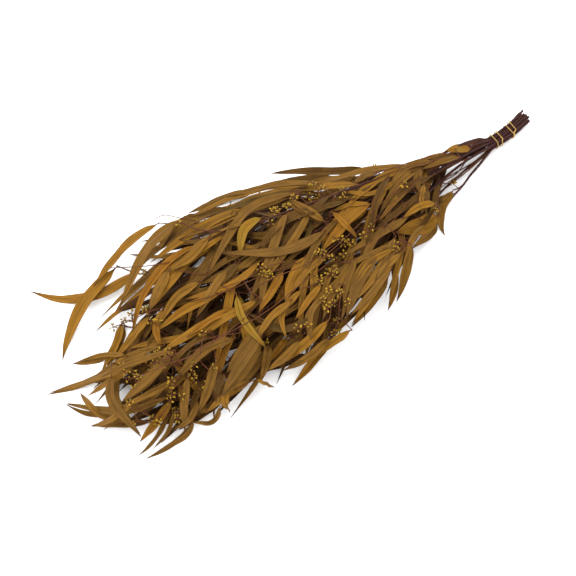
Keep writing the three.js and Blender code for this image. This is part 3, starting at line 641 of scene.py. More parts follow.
# The base, middle and tip of each leaf in pixels, its width in millimetres and its tone, from
# the lowest to the topmost.
PHOTO_LEAVES = [
    ((458, 156), (436, 162), (408, 174), 11, 0.32), ((428, 160), (402, 172), (388, 196), 10, 0.52),
    ((414, 168), (420, 182), (426, 199), 10, 0.30), ((416, 182), (424, 199), (421, 214), 10, 0.34),
    ((430, 186), (410, 204), (388, 220), 9, 0.22),
    ((432, 176), (404, 190), (380, 212), 9, 0.26), ((420, 196), (398, 212), (374, 230), 8, 0.20),
    ((426, 224), (412, 240), (405, 264), 8, 0.60), ((396, 236), (385, 256), (371, 281), 8, 0.52),
    ((411, 244), (405, 268), (398, 298), 8, 0.60), ((403, 248), (396, 274), (389, 305), 7, 0.70),
    ((391, 252), (373, 275), (353, 298), 7, 0.62), ((384, 248), (366, 269), (346, 299), 7, 0.45),
    ((376, 252), (357, 276), (342, 301), 7, 0.55), ((371, 254), (352, 280), (333, 305), 7, 0.66),
    ((366, 260), (350, 290), (341, 322), 7, 0.40), ((400, 240), (386, 262), (373, 286), 8, 0.35),
    ((396, 252), (381, 281), (352, 324), 9, 0.72), ((356, 262), (334, 292), (322, 322), 8, 0.48),
    ((318, 184), (250, 192), (186, 219), 11, 0.62), ((322, 184), (280, 184), (226, 197), 10, 0.45),
    ((292, 197), (240, 214), (176, 241), 11, 0.55), ((250, 207), (200, 228), (150, 263), 12, 0.68),
    ((185, 216), (150, 247), (120, 306), 14, 0.58), ((232, 234), (188, 260), (149, 312), 12, 0.75),
    ((240, 262), (222, 280), (200, 302), 13, 0.12), ((243, 221), (210, 258), (193, 300), 11, 0.30),
    ((374, 196), (345, 199), (310, 206), 8, 0.20),
    ((400, 178), (372, 194), (337, 190), 8, 0.70), ((372, 204), (350, 205), (332, 212), 8, 0.75),
    ((392, 180), (374, 184), (360, 193), 9, 0.10), ((378, 172), (366, 174), (354, 184), 10, 0.38),
    ((373, 203), (350, 219), (320, 253), 13, 0.80),
    ((460, 157), (443, 162), (420, 170), 8, 0.50), ((446, 153), (430, 157), (413, 164), 5, 0.60),
    ((471, 149), (459, 148), (445, 151), 12, 0.93), ((434, 161), (406, 168), (391, 188), 9, 0.50),
    ((421, 167), (417, 180), (421, 194), 9, 0.35), ((424, 184), (422, 196), (420, 210), 7, 0.60),
    ((428, 190), (427, 198), (428, 208), 6, 0.30), ((436, 203), (419, 207), (402, 219), 9, 0.75),
    ((404, 250), (378, 274), (351, 304), 9, 0.60), ((392, 268), (371, 293), (350, 316), 8, 0.50),
    ((396, 248), (370, 263), (351, 291), 8, 0.70), ((378, 254), (358, 284), (346, 319), 13, 0.35),
    ((356, 258), (347, 282), (343, 306), 8, 0.45), ((352, 262), (335, 284), (311, 303), 8, 0.60),
    ((330, 338), (310, 357), (283, 371), 9, 0.60), ((305, 333), (290, 345), (268, 362), 9, 0.45),
    ((287, 338), (278, 350), (266, 364), 8, 0.85), ((268, 345), (266, 362), (261, 382), 10, 0.50),
    ((256, 379), (264, 383), (275, 388), 6, 0.95), ((330, 318), (306, 343), (267, 371), 11, 0.72),
    ((328, 254), (305, 273), (289, 297), 8, 0.65), ((322, 283), (308, 301), (295, 320), 8, 0.78),
    ((318, 300), (308, 318), (311, 340), 7, 0.50), ((312, 316), (283, 329), (246, 312), 9, 0.15),
    ((303, 288), (282, 314), (287, 340), 8, 0.70), ((284, 270), (272, 290), (258, 313), 10, 0.85),
    ((306, 255), (293, 277), (285, 303), 12, 0.75), ((262, 260), (232, 284), (183, 300), 9, 0.80),
    ((222, 293), (186, 309), (157, 331), 10, 0.78), ((232, 310), (200, 327), (160, 352), 11, 0.75),
    ((241, 308), (214, 318), (186, 338), 9, 0.88), ((242, 325), (246, 342), (234, 358), 8, 0.70),
    ((236, 338), (203, 352), (172, 384), 12, 0.50), ((163, 308), (156, 328), (161, 347), 9, 0.90),
    ((150, 315), (132, 338), (111, 363), 8, 0.72), ((122, 322), (117, 343), (101, 373), 10, 0.72),
    ((165, 345), (130, 357), (92, 378), 9, 0.55), ((135, 365), (112, 380), (88, 396), 9, 0.68),
    ((172, 352), (148, 380), (120, 404), 12, 0.45), ((118, 372), (116, 402), (141, 437), 10, 0.50),
    ((175, 378), (128, 411), (66, 404), 10, 0.50), ((172, 400), (158, 420), (140, 442), 10, 0.80),
    ((188, 376), (184, 404), (185, 432), 10, 0.50), ((203, 380), (197, 393), (190, 412), 8, 0.25),
    ((216, 360), (209, 388), (198, 413), 11, 0.50), ((252, 380), (228, 394), (205, 414), 9, 0.68),
    ((228, 388), (225, 401), (230, 413), 9, 0.66), ((222, 405), (212, 423), (187, 421), 6, 0.50),
    ((128, 356), (103, 355), (74, 363), 6, 0.62), ((162, 352), (110, 373), (49, 393), 8, 0.58),
    ((174, 395), (122, 412), (66, 403), 8, 0.50), ((122, 424), (98, 413), (80, 393), 7, 0.62),
    ((136, 400), (113, 418), (92, 427), 7, 0.55), ((176, 408), (168, 432), (153, 449), 5, 0.40),
    ((194, 418), (186, 436), (157, 452), 6, 0.50), ((198, 400), (190, 419), (173, 430), 7, 0.45),
    ((181, 376), (152, 392), (116, 410), 8, 0.60), ((112, 372), (112, 402), (141, 436), 10, 0.42),
    ((166, 362), (144, 382), (121, 403), 11, 0.52), ((224, 374), (217, 389), (216, 403), 9, 0.15),
    ((170, 268), (158, 290), (149, 311), 12, 0.60), ((210, 236), (190, 258), (167, 272), 11, 0.62),
    ((258, 300), (225, 318), (196, 340), 9, 0.72), ((268, 322), (246, 346), (226, 374), 13, 0.52),
    ((262, 338), (246, 366), (223, 396), 14, 0.50), ((300, 340), (286, 356), (268, 370), 9, 0.60),
    ((292, 300), (270, 318), (255, 342), 9, 0.66), ((352, 330), (330, 345), (304, 361), 9, 0.74),
    ((200, 282), (176, 298), (160, 324), 10, 0.66), ((228, 268), (212, 290), (196, 318), 10, 0.55),
    ((302, 191), (246, 212), (206, 278), 11, 0.45), ((345, 202), (326, 207), (308, 213), 7, 0.08),
    ((263, 217), (244, 230), (240, 256), 12, 0.97), ((334, 206), (288, 219), (256, 251), 12, 0.22),
    ((326, 230), (285, 250), (221, 253), 13, 0.42), ((325, 222), (308, 211), (289, 199), 10, 0.52),
    ((335, 288), (312, 310), (311, 340), 7, 0.50), ((322, 350), (300, 363), (284, 371), 6, 0.40),
    ((262, 335), (240, 365), (222, 396), 12, 0.40), ((175, 350), (130, 364), (100, 378), 8, 0.50),
    ((236, 293), (243, 320), (267, 349), 9, 0.98), ((331, 211), (345, 224), (358, 239), 8, 0.80),
]

# The outline of the dense part of the bunch in pixels, and the middle and radius of each gap
# inside it where the photograph shows the table.
DENSE_OUTLINE = [
    (446, 156), (400, 169), (340, 176), (275, 180), (235, 192), (205, 206), (180, 222), (160, 236),
    (150, 252), (162, 257), (182, 251), (206, 250), (203, 266), (185, 280), (168, 292), (152, 310),
    (138, 322), (124, 345), (108, 364), (84, 381), (94, 394), (108, 402), (92, 409), (112, 424),
    (135, 428), (160, 426), (182, 436), (192, 424), (214, 420), (232, 398), (250, 383), (266, 372),
    (288, 366), (312, 362), (336, 336), (350, 316), (356, 298), (374, 284), (392, 297), (401, 280),
    (411, 248), (432, 234), (441, 214), (440, 182), (462, 156),
]
GAPS = [
    (247, 243, 5), (232, 351, 8), (176, 312, 6), (184, 325, 5), (165, 376, 5), (127, 391, 8),
    (103, 393, 6), (366, 297, 7), (160, 405, 5),
]

# Twigs without leaves of their own in pixels, each from its wood to its tip
PHOTO_TWIGS = [
    [(452, 153), (425, 158), (398, 166), (374, 174)],
    [(446, 157), (418, 165), (396, 171), (377, 178)],
    [(196, 221), (176, 217), (164, 215), (154, 219)],
    [(172, 262), (150, 266), (132, 267), (110, 268)],
    [(402, 186), (372, 212), (345, 238), (318, 262)], [(345, 236), (310, 262), (278, 276), (248, 290)],
    [(300, 262), (262, 276), (225, 292), (190, 302)], [(252, 320), (225, 335), (200, 350), (178, 362)],
    [(262, 300), (240, 322), (215, 340), (190, 352)], [(330, 262), (300, 285), (275, 305), (250, 322)],
    [(345, 285), (340, 300), (338, 318), (334, 334)], [(240, 333), (210, 338), (180, 352), (150, 366)],
    [(200, 355), (172, 362), (150, 372), (128, 380)], [(162, 308), (148, 312), (132, 320), (119, 325)],
    [(420, 178), (400, 198), (384, 214), (362, 232)], [(410, 200), (394, 220), (376, 238), (352, 256)],
    [(180, 374), (172, 388), (170, 402), (160, 418)], [(284, 262), (262, 268), (245, 280), (222, 288)],
    [(488, 149), (473, 165), (456, 177), (440, 188)], [(513, 126), (520, 124), (525, 119), (526, 113)],
]

# The middle of each bud cluster in pixels, and its number of umbels
PHOTO_CLUSTERS = [
    ((316, 187), 2), ((310, 197), 3), ((343, 196), 2), ((402, 184), 1), ((290, 205), 3), ((278, 212), 3),
    ((267, 221), 1), ((347, 241), 4), ((337, 239), 2), ((367, 232), 2), ((317, 251), 3), ((324, 257), 2),
    ((340, 259), 3), ((397, 247), 2), ((318, 277), 3), ((331, 274), 3), ((336, 294), 2), ((340, 311), 3),
    ((333, 324), 3), ((336, 334), 2), ((301, 329), 2), ((264, 268), 2), ((266, 278), 3), ((210, 330), 1),
    ((119, 325), 1), ((130, 320), 2), ((148, 312), 2), ((154, 322), 2), ((165, 352), 2), ((150, 358), 4),
    ((158, 362), 2), ((124, 376), 2), ((135, 374), 3), ((193, 373), 3), ((200, 385), 2), ((209, 370), 1),
    ((173, 384), 2), ((172, 397), 3), ((133, 422), 2), ((157, 420), 3), ((175, 417), 1),
]

view_back = Vector((
    math.sin(VIEW_AZIMUTH) * math.cos(VIEW_ELEVATION),
    -math.cos(VIEW_AZIMUTH) * math.cos(VIEW_ELEVATION),
    math.sin(VIEW_ELEVATION),
))
view_right = Vector((math.cos(VIEW_AZIMUTH), math.sin(VIEW_AZIMUTH), 0))
view_up = view_back.cross(view_right)
view_eye = Vector(VIEW_TARGET) + view_back * VIEW_DISTANCE
view_focal = PICTURE_SIDE * VIEW_LENS / VIEW_SENSOR


def seen_at(pixel, z):
    """The plan point that a pixel of the photograph shows at a height."""
    aside = (pixel[0] - PICTURE_SIDE / 2) / view_focal
    above = (PICTURE_SIDE / 2 - pixel[1]) / view_focal
    ray = view_right * aside + view_up * above - view_back
    point = view_eye + ray * ((z - view_eye.z) / ray.z)
    return point.x, point.y


def pixel_of(x, y, z):
    """The pixel of the photograph that shows a place."""
    offset = Vector((x, y, z)) - view_eye
    scale = -view_focal / offset.dot(view_back)
    u = PICTURE_SIDE / 2 + scale * offset.dot(view_right)
    v = PICTURE_SIDE / 2 - scale * offset.dot(view_up)
    return u, v


def seen_height(pixel):
    """The height at which a pixel's ray meets the pile."""
    z = TOP_LIMIT
    while z > 1 and pile[cell_of(*seen_at(pixel, z))] < z:
        z -= 1
    return z


def close_height(tops, x, y):
    """The height over one cell only, for the thin things that settle in among the leaves."""
    top = tops[cell_of(x, y)]
    return top + TOP_GAP if top > 0 else 0


def is_in_box(x, y):
    return BOX_X[0] < x < BOX_X[1] and BOX_Y[0] < y < BOX_Y[1]


def in_box(x, y, margin):
    """The nearest place that is this far inside the box."""
    return (
        min(max(x, BOX_X[0] + margin), BOX_X[1] - margin),
        min(max(y, BOX_Y[0] + margin), BOX_Y[1] - margin),
    )


def seen_stations(pixels, heights):
    """Stations shown at pixels, at these heights, or lower where they would stand out of the box."""
    path = []
    for pixel, z in zip(pixels, heights):
        while z > 1 and not is_in_box(*seen_at(pixel, z)):
            z -= 1
        path.append(Station(*in_box(*seen_at(pixel, z), 1), z))
    return path


def drape(path, limit=TOP_LIMIT):
    """Lays a thin path close on the pile. It is stiff, so it bends gently over what it crosses."""
    for p in path:
        p.z = max(p.z, close_height(pile, p.x, p.y) + p.deep)
    lift_clear(path, 1, pile, TOUCHING_REACH, math.inf, close_height)
    climb, drop = TOP_STEEPEST
    for _ in range(TOP_SWEEPS):
        for a, b in zip(path, path[1:]):
            b.z = max(b.z, a.z - drop * plan_distance(a, b))
        for a, b in reversed(list(zip(path, path[1:]))):
            a.z = max(a.z, b.z - climb * plan_distance(a, b))
        for a, p, b in zip(path, path[1:], path[2:]):
            p.z = max(p.z, (a.z + b.z) / 2 - TOP_SAG)
    for p in path:
        p.z = min(p.z, limit - p.half * abs(math.sin(p.roll)))


def shape_leaf(path, width, roll):
    """Gives a leaf its widths, and rolls it with the slope of the pile."""
    set_headings(path)
    for p, share in zip(path, TOP_WIDTH_SHARES):
        p.half = (width / 2) * share
        p.deep = LEAF_THICKNESS / 2
        left_height, right_height = heights_beside(p)
        lean = LEAN_SHARE * math.atan2(left_height - right_height, 2 * p.half + CELL)
        p.roll = min(max(lean + roll, -TOP_ROLL_LIMIT), TOP_ROLL_LIMIT) * share


def raise_pile(leaf):
    """Adds the tops of a leaf that was laid on the pile."""
    for x, y, z in upper_points(leaf):
        cell = cell_of(x, y)
        pile[cell] = max(pile[cell], z)


def wood_points(paths):
    """Points along paths of wood, from which other twigs may grow."""
    points = []
    for path in paths:
        for a, b in zip(path, path[1:]):
            steps = math.ceil(plan_distance(a, b) / WOOD_SAMPLE)
            points += [point_between(a, b, step / steps) for step in range(steps)]
    return points


def nearest_wood(x, y, z, heading):
    """The wood that a twig to this place best grows from: close, at its height, a little behind."""
    best = None
    for p in carriers:
        behind = (x - p.x) * math.cos(heading) + (y - p.y) * math.sin(heading)
        cost = math.hypot(x - p.x, y - p.y)
        cost = cost + BEHIND_WEIGHT * abs(behind - JOIN_BACK) + HEIGHT_WEIGHT * abs(z - p.z)
        if best is None or cost < best[0]:
            best = (cost, p)
    return best[1]


def fine_twig(start, end):
    """A thin twig that leaves the wood along its heading and bends to an end."""
    reach = FINE_TWIG_REACH * math.dist((start.x, start.y, start.z), (end.x, end.y, end.z))
    bend = (
        start.x + reach * math.cos(start.heading),
        start.y + reach * math.sin(start.heading),
        mix(start.z, end.z, FINE_TWIG_RISE),
    )
    path = []
    for k, deep in enumerate(FINE_TWIG_RADII):
        u = k / (len(FINE_TWIG_RADII) - 1)
        place = (
            (1 - u) ** 2 * a + 2 * u * (1 - u) * b + u ** 2 * c
            for a, b, c in zip((start.x, start.y, start.z), bend, (end.x, end.y, end.z))
        )
        path.append(Station(*place, deep, deep))
    set_headings(path)
    return path


def twig_to(place):
    """A thin twig to a place, from the wood that it best grows from."""
    return fine_twig(nearest_wood(place.x, place.y, place.z, place.heading), place)


def lay_where_seen(pixels, finish, limit=TOP_LIMIT):
    """A path that lies on the pile, is shown at pixels, and is finished by a rule of its own."""
    heights = [seen_height(pixel) for pixel in pixels]
    for _ in range(VIEW_PASSES):
        path = seen_stations(pixels, heights)
        for p in path:
            p.z = 0
        finish(path)
        drape(path, limit)
        heights = [p.z for p in path]
    path = seen_stations(pixels, heights)
    finish(path)
    return path


def photo_leaf(base, middle, tip, width, limit):
    """Lays a leaf so that the view shows it at its pixels. Returns its twig and the leaf."""
    pixels = [route_point([base, middle, tip], share) for share in TOP_STATIONS]
    roll = math.radians(top_chance.uniform(-LEAF_ROLL_DEG, LEAF_ROLL_DEG)) / 2
    leaf = lay_where_seen(pixels, lambda path: shape_leaf(path, width * TOP_SLIMNESS, roll), limit)
    return twig_to(leaf[0]), leaf


# Fill leaves run through the bunch at some level of its height and close it where the photograph
# shows no gap. Each crosses a place where the view reaches down towards the table, and the last
# ones lie on top. Of several tries the one that hides the most is kept. A pass is a number of
# leaves and the levels, as shares of the pile's height, between which they lie.
FILL_PASSES = [(110, (0.05, 0.4)), (90, (0.4, 0.8)), (36, (1.0, 1.0))]
FILL_TRIES = 16
FILL_AIM_DEG = (-25, 55)
FILL_LENGTH = (55, 130)
FILL_WIDTH = (6.5, 10.5)
FILL_CROSSING = (0.25, 0.75)
MEAN_SLIMNESS = 0.72
PIXEL_STEP = 2
KEPT_WORTH = 3
TOP_SEED = 19

top_chance = random.Random(TOP_SEED)


def is_dense(pixel):
    """Whether the photograph shows the bunch without a gap at a pixel."""
    if any(math.hypot(pixel[0] - x, pixel[1] - y) < radius for x, y, radius in GAPS):
        return False
    return is_within(*pixel, DENSE_OUTLINE)


def pixels_over(leaf, only_on_top=False):
    """The pixels, on a coarse grid, that show a slim leaf, or only what of it lies on top."""
    pixels = set()
    for x, y, z in upper_points(leaf, PIXEL_STEP, MEAN_SLIMNESS):
        if not only_on_top or z >= pile[cell_of(x, y)]:
            pixels.add(tuple(PIXEL_STEP * round(n / PIXEL_STEP) for n in pixel_of(x, y, z)))
    return pixels


def ruled_top_leaf(pixel, levels):
    """A leaf at a level of the bunch that crosses a pixel, or None where it stands out."""
    x, y = seen_at(pixel, TOP_LIMIT / 3)
    nearest = min(carriers, key=lambda p: math.hypot(p.x - x, p.y - y))
    aim = nearest.heading + math.radians(top_chance.uniform(*FILL_AIM_DEG))
    turn = math.radians(top_chance.uniform(*LEAF_TURN_DEG))
    length = top_chance.uniform(*FILL_LENGTH)
    width = top_chance.uniform(*FILL_WIDTH)
    level = top_chance.uniform(*levels)
    roll = math.radians(top_chance.uniform(-LEAF_ROLL_DEG, LEAF_ROLL_DEG))
    across_at = top_chance.uniform(*FILL_CROSSING)
    leaf = []
    x, y, before = 0, 0, 0
    for share in TOP_STATIONS:
        heading = aim + turn * ((share + before) / 2 - 0.5)
        x += math.cos(heading) * (share - before) * length
        y += math.sin(heading) * (share - before) * length
        before = share
        leaf.append(Station(x, y, 0))
    for _ in range(VIEW_PASSES):
        crossing = on_path(leaf, across_at)
        x, y = seen_at(pixel, crossing.z)
        for p in leaf:
            p.x += x - crossing.x
            p.y += y - crossing.y
            p.z = level * cushion[cell_of(p.x, p.y)] + p.half * abs(math.sin(p.roll)) + TOP_GAP
        shape_leaf(leaf, width, roll)
        if level >= 1:
            drape(leaf, TOP_LIMITS[0] + TOP_GAP)
    if all(is_in_box(p.x, p.y) and is_dense(pixel_of(p.x, p.y, p.z)) for p in leaf):
        return leaf
    return None


# The wood that twigs may grow from, the pixels of the solids' shown leaves, and those of all leaves
carriers = wood_points([path for line, twigs, _, _ in laid_stems for path in [line, *twigs]])
kept_pixels, covered_pixels = set(), set()
for stem, (_, _, leaves, _) in zip(STEMS, laid_stems):
    for k, leaf in enumerate(leaves):
        covered_pixels |= pixels_over(leaf)
        if k < len(stem[-1]):
            kept_pixels |= pixels_over(leaf, True)
dense_pixels = [
    (u, v)
    for u in range(0, PICTURE_SIDE, PIXEL_STEP)
    for v in range(0, PICTURE_SIDE, PIXEL_STEP)
    if is_dense((u, v)) and (u, v) not in kept_pixels
]
bare_pixels = set(dense_pixels) - covered_pixels
fill_leaves = []


def add_fill_leaf(levels):
    """Adds the best of several leaves: it hides the most bare pixels and the fewest kept ones."""
    best = (0, None, None)
    choice = dense_pixels if levels[0] >= 1 else sorted(bare_pixels)
    for pixel in top_chance.sample(choice, min(FILL_TRIES, len(choice))):
        leaf = ruled_top_leaf(pixel, levels)
        if leaf:
            pixels = pixels_over(leaf)
            hidden = pixels_over(leaf, True) & kept_pixels
            score = 1 + len(pixels & bare_pixels) - KEPT_WORTH * len(hidden)
            best = max(best, (score, leaf, pixels), key=lambda scored: scored[0])
    _, leaf, pixels = best
    if leaf:
        twig = twig_to(leaf[0])
        raise_pile(leaf)
        bare_pixels.difference_update(pixels)
        carriers.extend(wood_points([twig]))
        fill_leaves.append((twig, leaf))


for leaf_count, levels in FILL_PASSES:
    for _ in range(leaf_count):
        add_fill_leaf(levels)

top_leaves = []
for order, (base, middle, tip, width, tone) in enumerate(PHOTO_LEAVES):
    limit = mix(*TOP_LIMITS, (order / len(PHOTO_LEAVES)) ** 2)
    twig, leaf = photo_leaf(base, middle, tip, width, limit)
    raise_pile(leaf)
    top_leaves.append((twig, leaf, tone))


# Thin side shoots run between the stems where they fan out, beyond the band. The stems on the
# viewer's side carry none, and leave the bundle's near side open.
SIDE_SHOOTS = 24
SHOOT_SHARE = (0.15, 0.85)
SHOOT_STATIONS = (10, 14)
SHOOT_RADII = (0.95, 0.55)
SHOOT_EASE = 4
NEAR_STEMS = 5


def side_shoot(stem_line, other_line):
    """A thin shoot that leaves one stem beyond the band and runs towards another."""
    share = top_chance.uniform(*SHOOT_SHARE)
    last = top_chance.randint(*SHOOT_STATIONS)
    path = []
    for k in range(PACKED_STATIONS - 2, last):
        away = share * min(1, (k - PACKED_STATIONS + 2) / SHOOT_EASE)
        deep = mix(*SHOOT_RADII, k / last)
        path.append(Station(*place_between(stem_line[k], other_line[k], away), deep, deep))
    return path


lines = sorted((line for line, *_ in laid_stems), key=lambda line: line[SHOOT_STATIONS[0]].y)
far_lines = lines[NEAR_STEMS:]
side_shoots = [side_shoot(*top_chance.sample(far_lines, 2)) for _ in range(SIDE_SHOOTS)]

CLUSTER_RISE = 2.6
CLUSTER_LIMIT = 69
CLUSTER_REACH = (3, 8)
CLUSTER_TURN = (0.3, 1.3)
CLUSTER_BUDS = (4, 7)
HUB_LIFT = (0, 2)
UMBELS_FROM_SHARE = 0.5
BUD_TURN = (-0.4, 0.4)
BUD_LIFTS = (-0.5, 1.2)


def shape_twig(path):
    for p in path:
        p.deep = p.half = FINE_TWIG_RADII[-1]
    set_headings(path)


def photo_twig(pixels):
    """A thin twig that the view shows through its pixels, with the join to its wood."""
    path = lay_where_seen(pixels, shape_twig)
    return twig_to(path[0]), path


def photo_cluster(pixel, umbel_count):
    """A branching stalk whose umbels the view shows round a pixel."""
    z = min(seen_height(pixel) + CLUSTER_RISE, CLUSTER_LIMIT)
    centre = Station(*in_box(*seen_at(pixel, z), CLUSTER_REACH[1]), z)
    nearest = min(carriers, key=lambda p: math.dist((p.x, p.y, p.z), (centre.x, centre.y, centre.z)))
    stalk = fine_twig(nearest_wood(centre.x, centre.y, z, nearest.heading), centre)
    umbels = []
    for k in range(umbel_count):
        base = on_path(stalk, mix(1, UMBELS_FROM_SHARE, k / umbel_count))
        around = stalk[-1].heading + (-1) ** k * top_chance.uniform(*CLUSTER_TURN)
        reach = top_chance.uniform(*CLUSTER_REACH)
        hub_x, hub_y = base.x + math.cos(around) * reach, base.y + math.sin(around) * reach
        hub = Station(*in_box(hub_x, hub_y, CLUSTER_REACH[0]), 0)
        clear = close_height(pile, hub.x, hub.y) + CLUSTER_RISE
        hub.z = min(max(base.z + top_chance.uniform(*HUB_LIFT), clear), CLUSTER_LIMIT)
        aims = []
        count = top_chance.randint(*CLUSTER_BUDS)
        for n in range(count):
            turn = around + 2 * math.pi * n / count + top_chance.uniform(*BUD_TURN)
            aims.append(aim_of(turn, top_chance.uniform(*BUD_LIFTS)))
        umbels.append((base, hub, aims))
    return stalk, umbels


top_twigs = [photo_twig(pixels) for pixels in PHOTO_TWIGS]
clusters = [photo_cluster(*cluster) for cluster in PHOTO_CLUSTERS]

# The frame's origin is the middle of the bunch, so what was laid is moved there, in metres. From
# here on the paths' own measures are still millimetres, and those of what grows on them metres.
corners = np.array([
    face_point(p, p, 0, across, side)
    for line, twigs, leaves, _ in laid_stems
    for path in [line, *twigs, *leaves]
    for p in path
    for across in (-1, 1)
    for side in (-1, 1)
])
MM = 0.001
frame_middle = 0.5 / MM * (np.array(cad_box[0]) + np.array(cad_box[1]))
MOVE = frame_middle[:2] - (corners.min(axis=0) + corners.max(axis=0))[:2] / 2


def in_frame(x, y, z):
    return ((x + MOVE[0]) * MM, (y + MOVE[1]) * MM, z * MM)


# Stem wood. Each stem is one thin woody shoot with dark purple-brown bark, a little ridged
# along its length and swollen here and there. Side twigs, leaf stalks and the stalks of the
# bud clusters grow from it, thinner and redder.
STEM_ROUNDING = 1.2
STEM_KINK = 0.5
SIDE_TWIG_KINK = 0.3
TABLE_GAP = 0.1
STEM_SIDES = 8
BARK_STEP = 0.0025
BARK_SWELLING = 0.3
PETIOLE_RADII = (0.62, 0.5, 0.4, 0.3)
PETIOLE_TO = 0.2
BARK_SEED = 41
CUT_SETBACK = 0.1
CUT_FACE_RUN = 0.00002
LUMP_NOISE = {"Scale": 130.0, "Detail": 1.0}
RIDGE_NOISE = {"Scale": 1.6, "Detail": 3}
RIDGES_ALONG = 120.0
RIDGES_AROUND = 2.2

# The sockets of a mix node for its share and its two colours, and for the mixed colour
MIX_INPUTS = (0, 6, 7)
MIX_OUTPUT = 2

# A spread, and so a roughness, is the range of a value and what it is eased to at both ends, 0 and
# 1 where that isn't said. A relief is the strength of a bump and its depth in metres.
SPECK_SPREAD = (0.60, 0.72)
STEM_BARK = (0.040, 0.014, 0.012, 1)
TWIG_BARK = (0.105, 0.036, 0.013, 1)
RIDGE_BARK = (0.015, 0.006, 0.005, 1)
PATCH_BARK = (0.080, 0.034, 0.020, 1)
CUT_WOOD = (0.42, 0.30, 0.18, 1)
THICKNESS_SPREAD = (0.0006, 0.0014)
RIDGE_SPREAD = (0.35, 0.7, 0.0, 0.55)
BARK_PATCH_SPREAD = (0.5, 0.75, 0.0, 0.5)
BARK_PATCH_SIZE = 0.012
BARK_SPECK_SIZE = 0.0012
BARK_GRAIN_HEIGHT = 0.3
BARK_RELIEF = (0.6, 0.0004)
BARK_ROUGHNESS = (0.3, 0.7, 0.5, 0.78)
BARK_GLOSS = 0.08

chance = random.Random(BARK_SEED)


def scatter(spread):
    return chance.uniform(-spread, spread)


def add_node(tree, kind, inputs=None, **settings):
    """A node with its settings, and its inputs linked from sockets or set to values."""
    node = tree.nodes.new(kind)
    for key, value in settings.items():
        setattr(node, key, value)
    for key, value in (inputs or {}).items():
        if isinstance(value, bpy.types.NodeSocket):
            tree.links.new(value, node.inputs[key])
        else:
            node.inputs[key].default_value = value
    return node


def first_output(tree, kind, inputs=None, **settings):
    return add_node(tree, kind, inputs, **settings).outputs[0]


def maths(tree, operation, *values):
    return first_output(tree, "ShaderNodeMath", dict(enumerate(values)), operation=operation)


def times(tree, *values):
    """The product of two or more values."""
    product = values[0]
    for value in values[1:]:
        product = maths(tree, "MULTIPLY", product, value)
    return product


def new_growth(name, inputs):
    """A geometry tree that starts from paths, with the given named inputs."""
    tree = bpy.data.node_groups.new(name, "GeometryNodeTree")
    tree.interface.new_socket("Geometry", in_out="INPUT", socket_type="NodeSocketGeometry")
    for label, kind in inputs.items():
        tree.interface.new_socket(label, in_out="INPUT", socket_type="NodeSocket" + kind)
    tree.interface.new_socket("Geometry", in_out="OUTPUT", socket_type="NodeSocketGeometry")
    return tree, add_node(tree, "NodeGroupInput").outputs


def named(tree, name):
    """An attribute of the geometry by its name."""
    node = add_node(tree, "GeometryNodeInputNamedAttribute", {"Name": name}, data_type="FLOAT")
    return node.outputs["Attribute"]


def store(tree, geometry, name, value, domain="POINT"):
    """The geometry with a value kept on it as a named attribute."""
    kind = "GeometryNodeStoreNamedAttribute"
    inputs = {"Geometry": geometry, "Name": name, "Value": value}
    return first_output(tree, kind, inputs, data_type="FLOAT", domain=domain)


def smooth_curve(tree, paths, mode, **resample_inputs):
    """Smooth curves through chains of edges, resampled by a length or to a count."""
    curve = first_output(tree, "GeometryNodeMeshToCurve", {"Mesh": paths})
    kind = "GeometryNodeCurveSplineType"
    curve = first_output(tree, kind, {"Curve": curve}, spline_type="CATMULL_ROM")
    kind = "GeometryNodeResampleCurve"
    return first_output(tree, kind, {"Curve": curve, **resample_inputs}, mode=mode)


def finish_growth(tree, geometry, material):
    """Ends a geometry tree with smooth shading, real geometry and a material."""
    smooth = first_output(tree, "GeometryNodeSetShadeSmooth", {"Geometry": geometry})
    real = first_output(tree, "GeometryNodeRealizeInstances", {"Geometry": smooth})
    finished = first_output(tree, "GeometryNodeSetMaterial", {"Geometry": real, "Material": material})
    add_node(tree, "NodeGroupOutput", {"Geometry": finished})


def path_mesh(name, paths, closed=False):
    """A chain of edges for each path. A path is a list of (place, {attribute: number})."""
    places, edges, numbers = [], [], {}
    for path in paths:
        first = len(places)
        places += [place for place, _ in path]
        edges += [(first + k, first + k + 1) for k in range(len(path) - 1)]
        if closed:
            edges.append((len(places) - 1, first))
        for _, attributes in path:
            for key, value in attributes.items():
                numbers.setdefault(key, []).append(value)
    mesh = bpy.data.meshes.new(name)
    mesh.from_pydata(places, edges, [])
    for key, values in numbers.items():
        mesh.attributes.new(key, "FLOAT", "POINT").data.foreach_set("value", values)
    return mesh


def grow(name, mesh, tree, values):
    """The plain mesh object that a geometry tree makes from a mesh."""
    source = bpy.data.objects.new(name + "_source", mesh)
    bpy.context.collection.objects.link(source)
    modifier = source.modifiers.new("growth", "NODES")
    modifier.node_group = tree
    for item in tree.interface.items_tree:
        if item.in_out == "INPUT" and item.name in values:
            modifier[item.identifier] = values[item.name]
    depsgraph = bpy.context.evaluated_depsgraph_get()
    grown = bpy.data.meshes.new_from_object(
        source.evaluated_get(depsgraph), preserve_all_data_layers=True, depsgraph=depsgraph
    )
    bpy.data.objects.remove(source)
    grown.name = name
    piece = bpy.data.objects.new(name, grown)
    bpy.context.collection.objects.link(piece)
    return piece


def new_material(name):
    material = bpy.data.materials.new(name)
    material.use_nodes = True
    return material, material.node_tree, material.node_tree.nodes["Principled BSDF"]


def attribute(tree, name):
    """A number that the piece's mesh carries, for its material."""
    return add_node(tree, "ShaderNodeAttribute", attribute_name=name).outputs["Fac"]


def blend(tree, share, first, second, blend_type="MIX"):
    """Two colours mixed by a share."""
    inputs = dict(zip(MIX_INPUTS, (share, first, second)))
    node = add_node(tree, "ShaderNodeMix", inputs, data_type="RGBA", blend_type=blend_type)
    return node.outputs[MIX_OUTPUT]


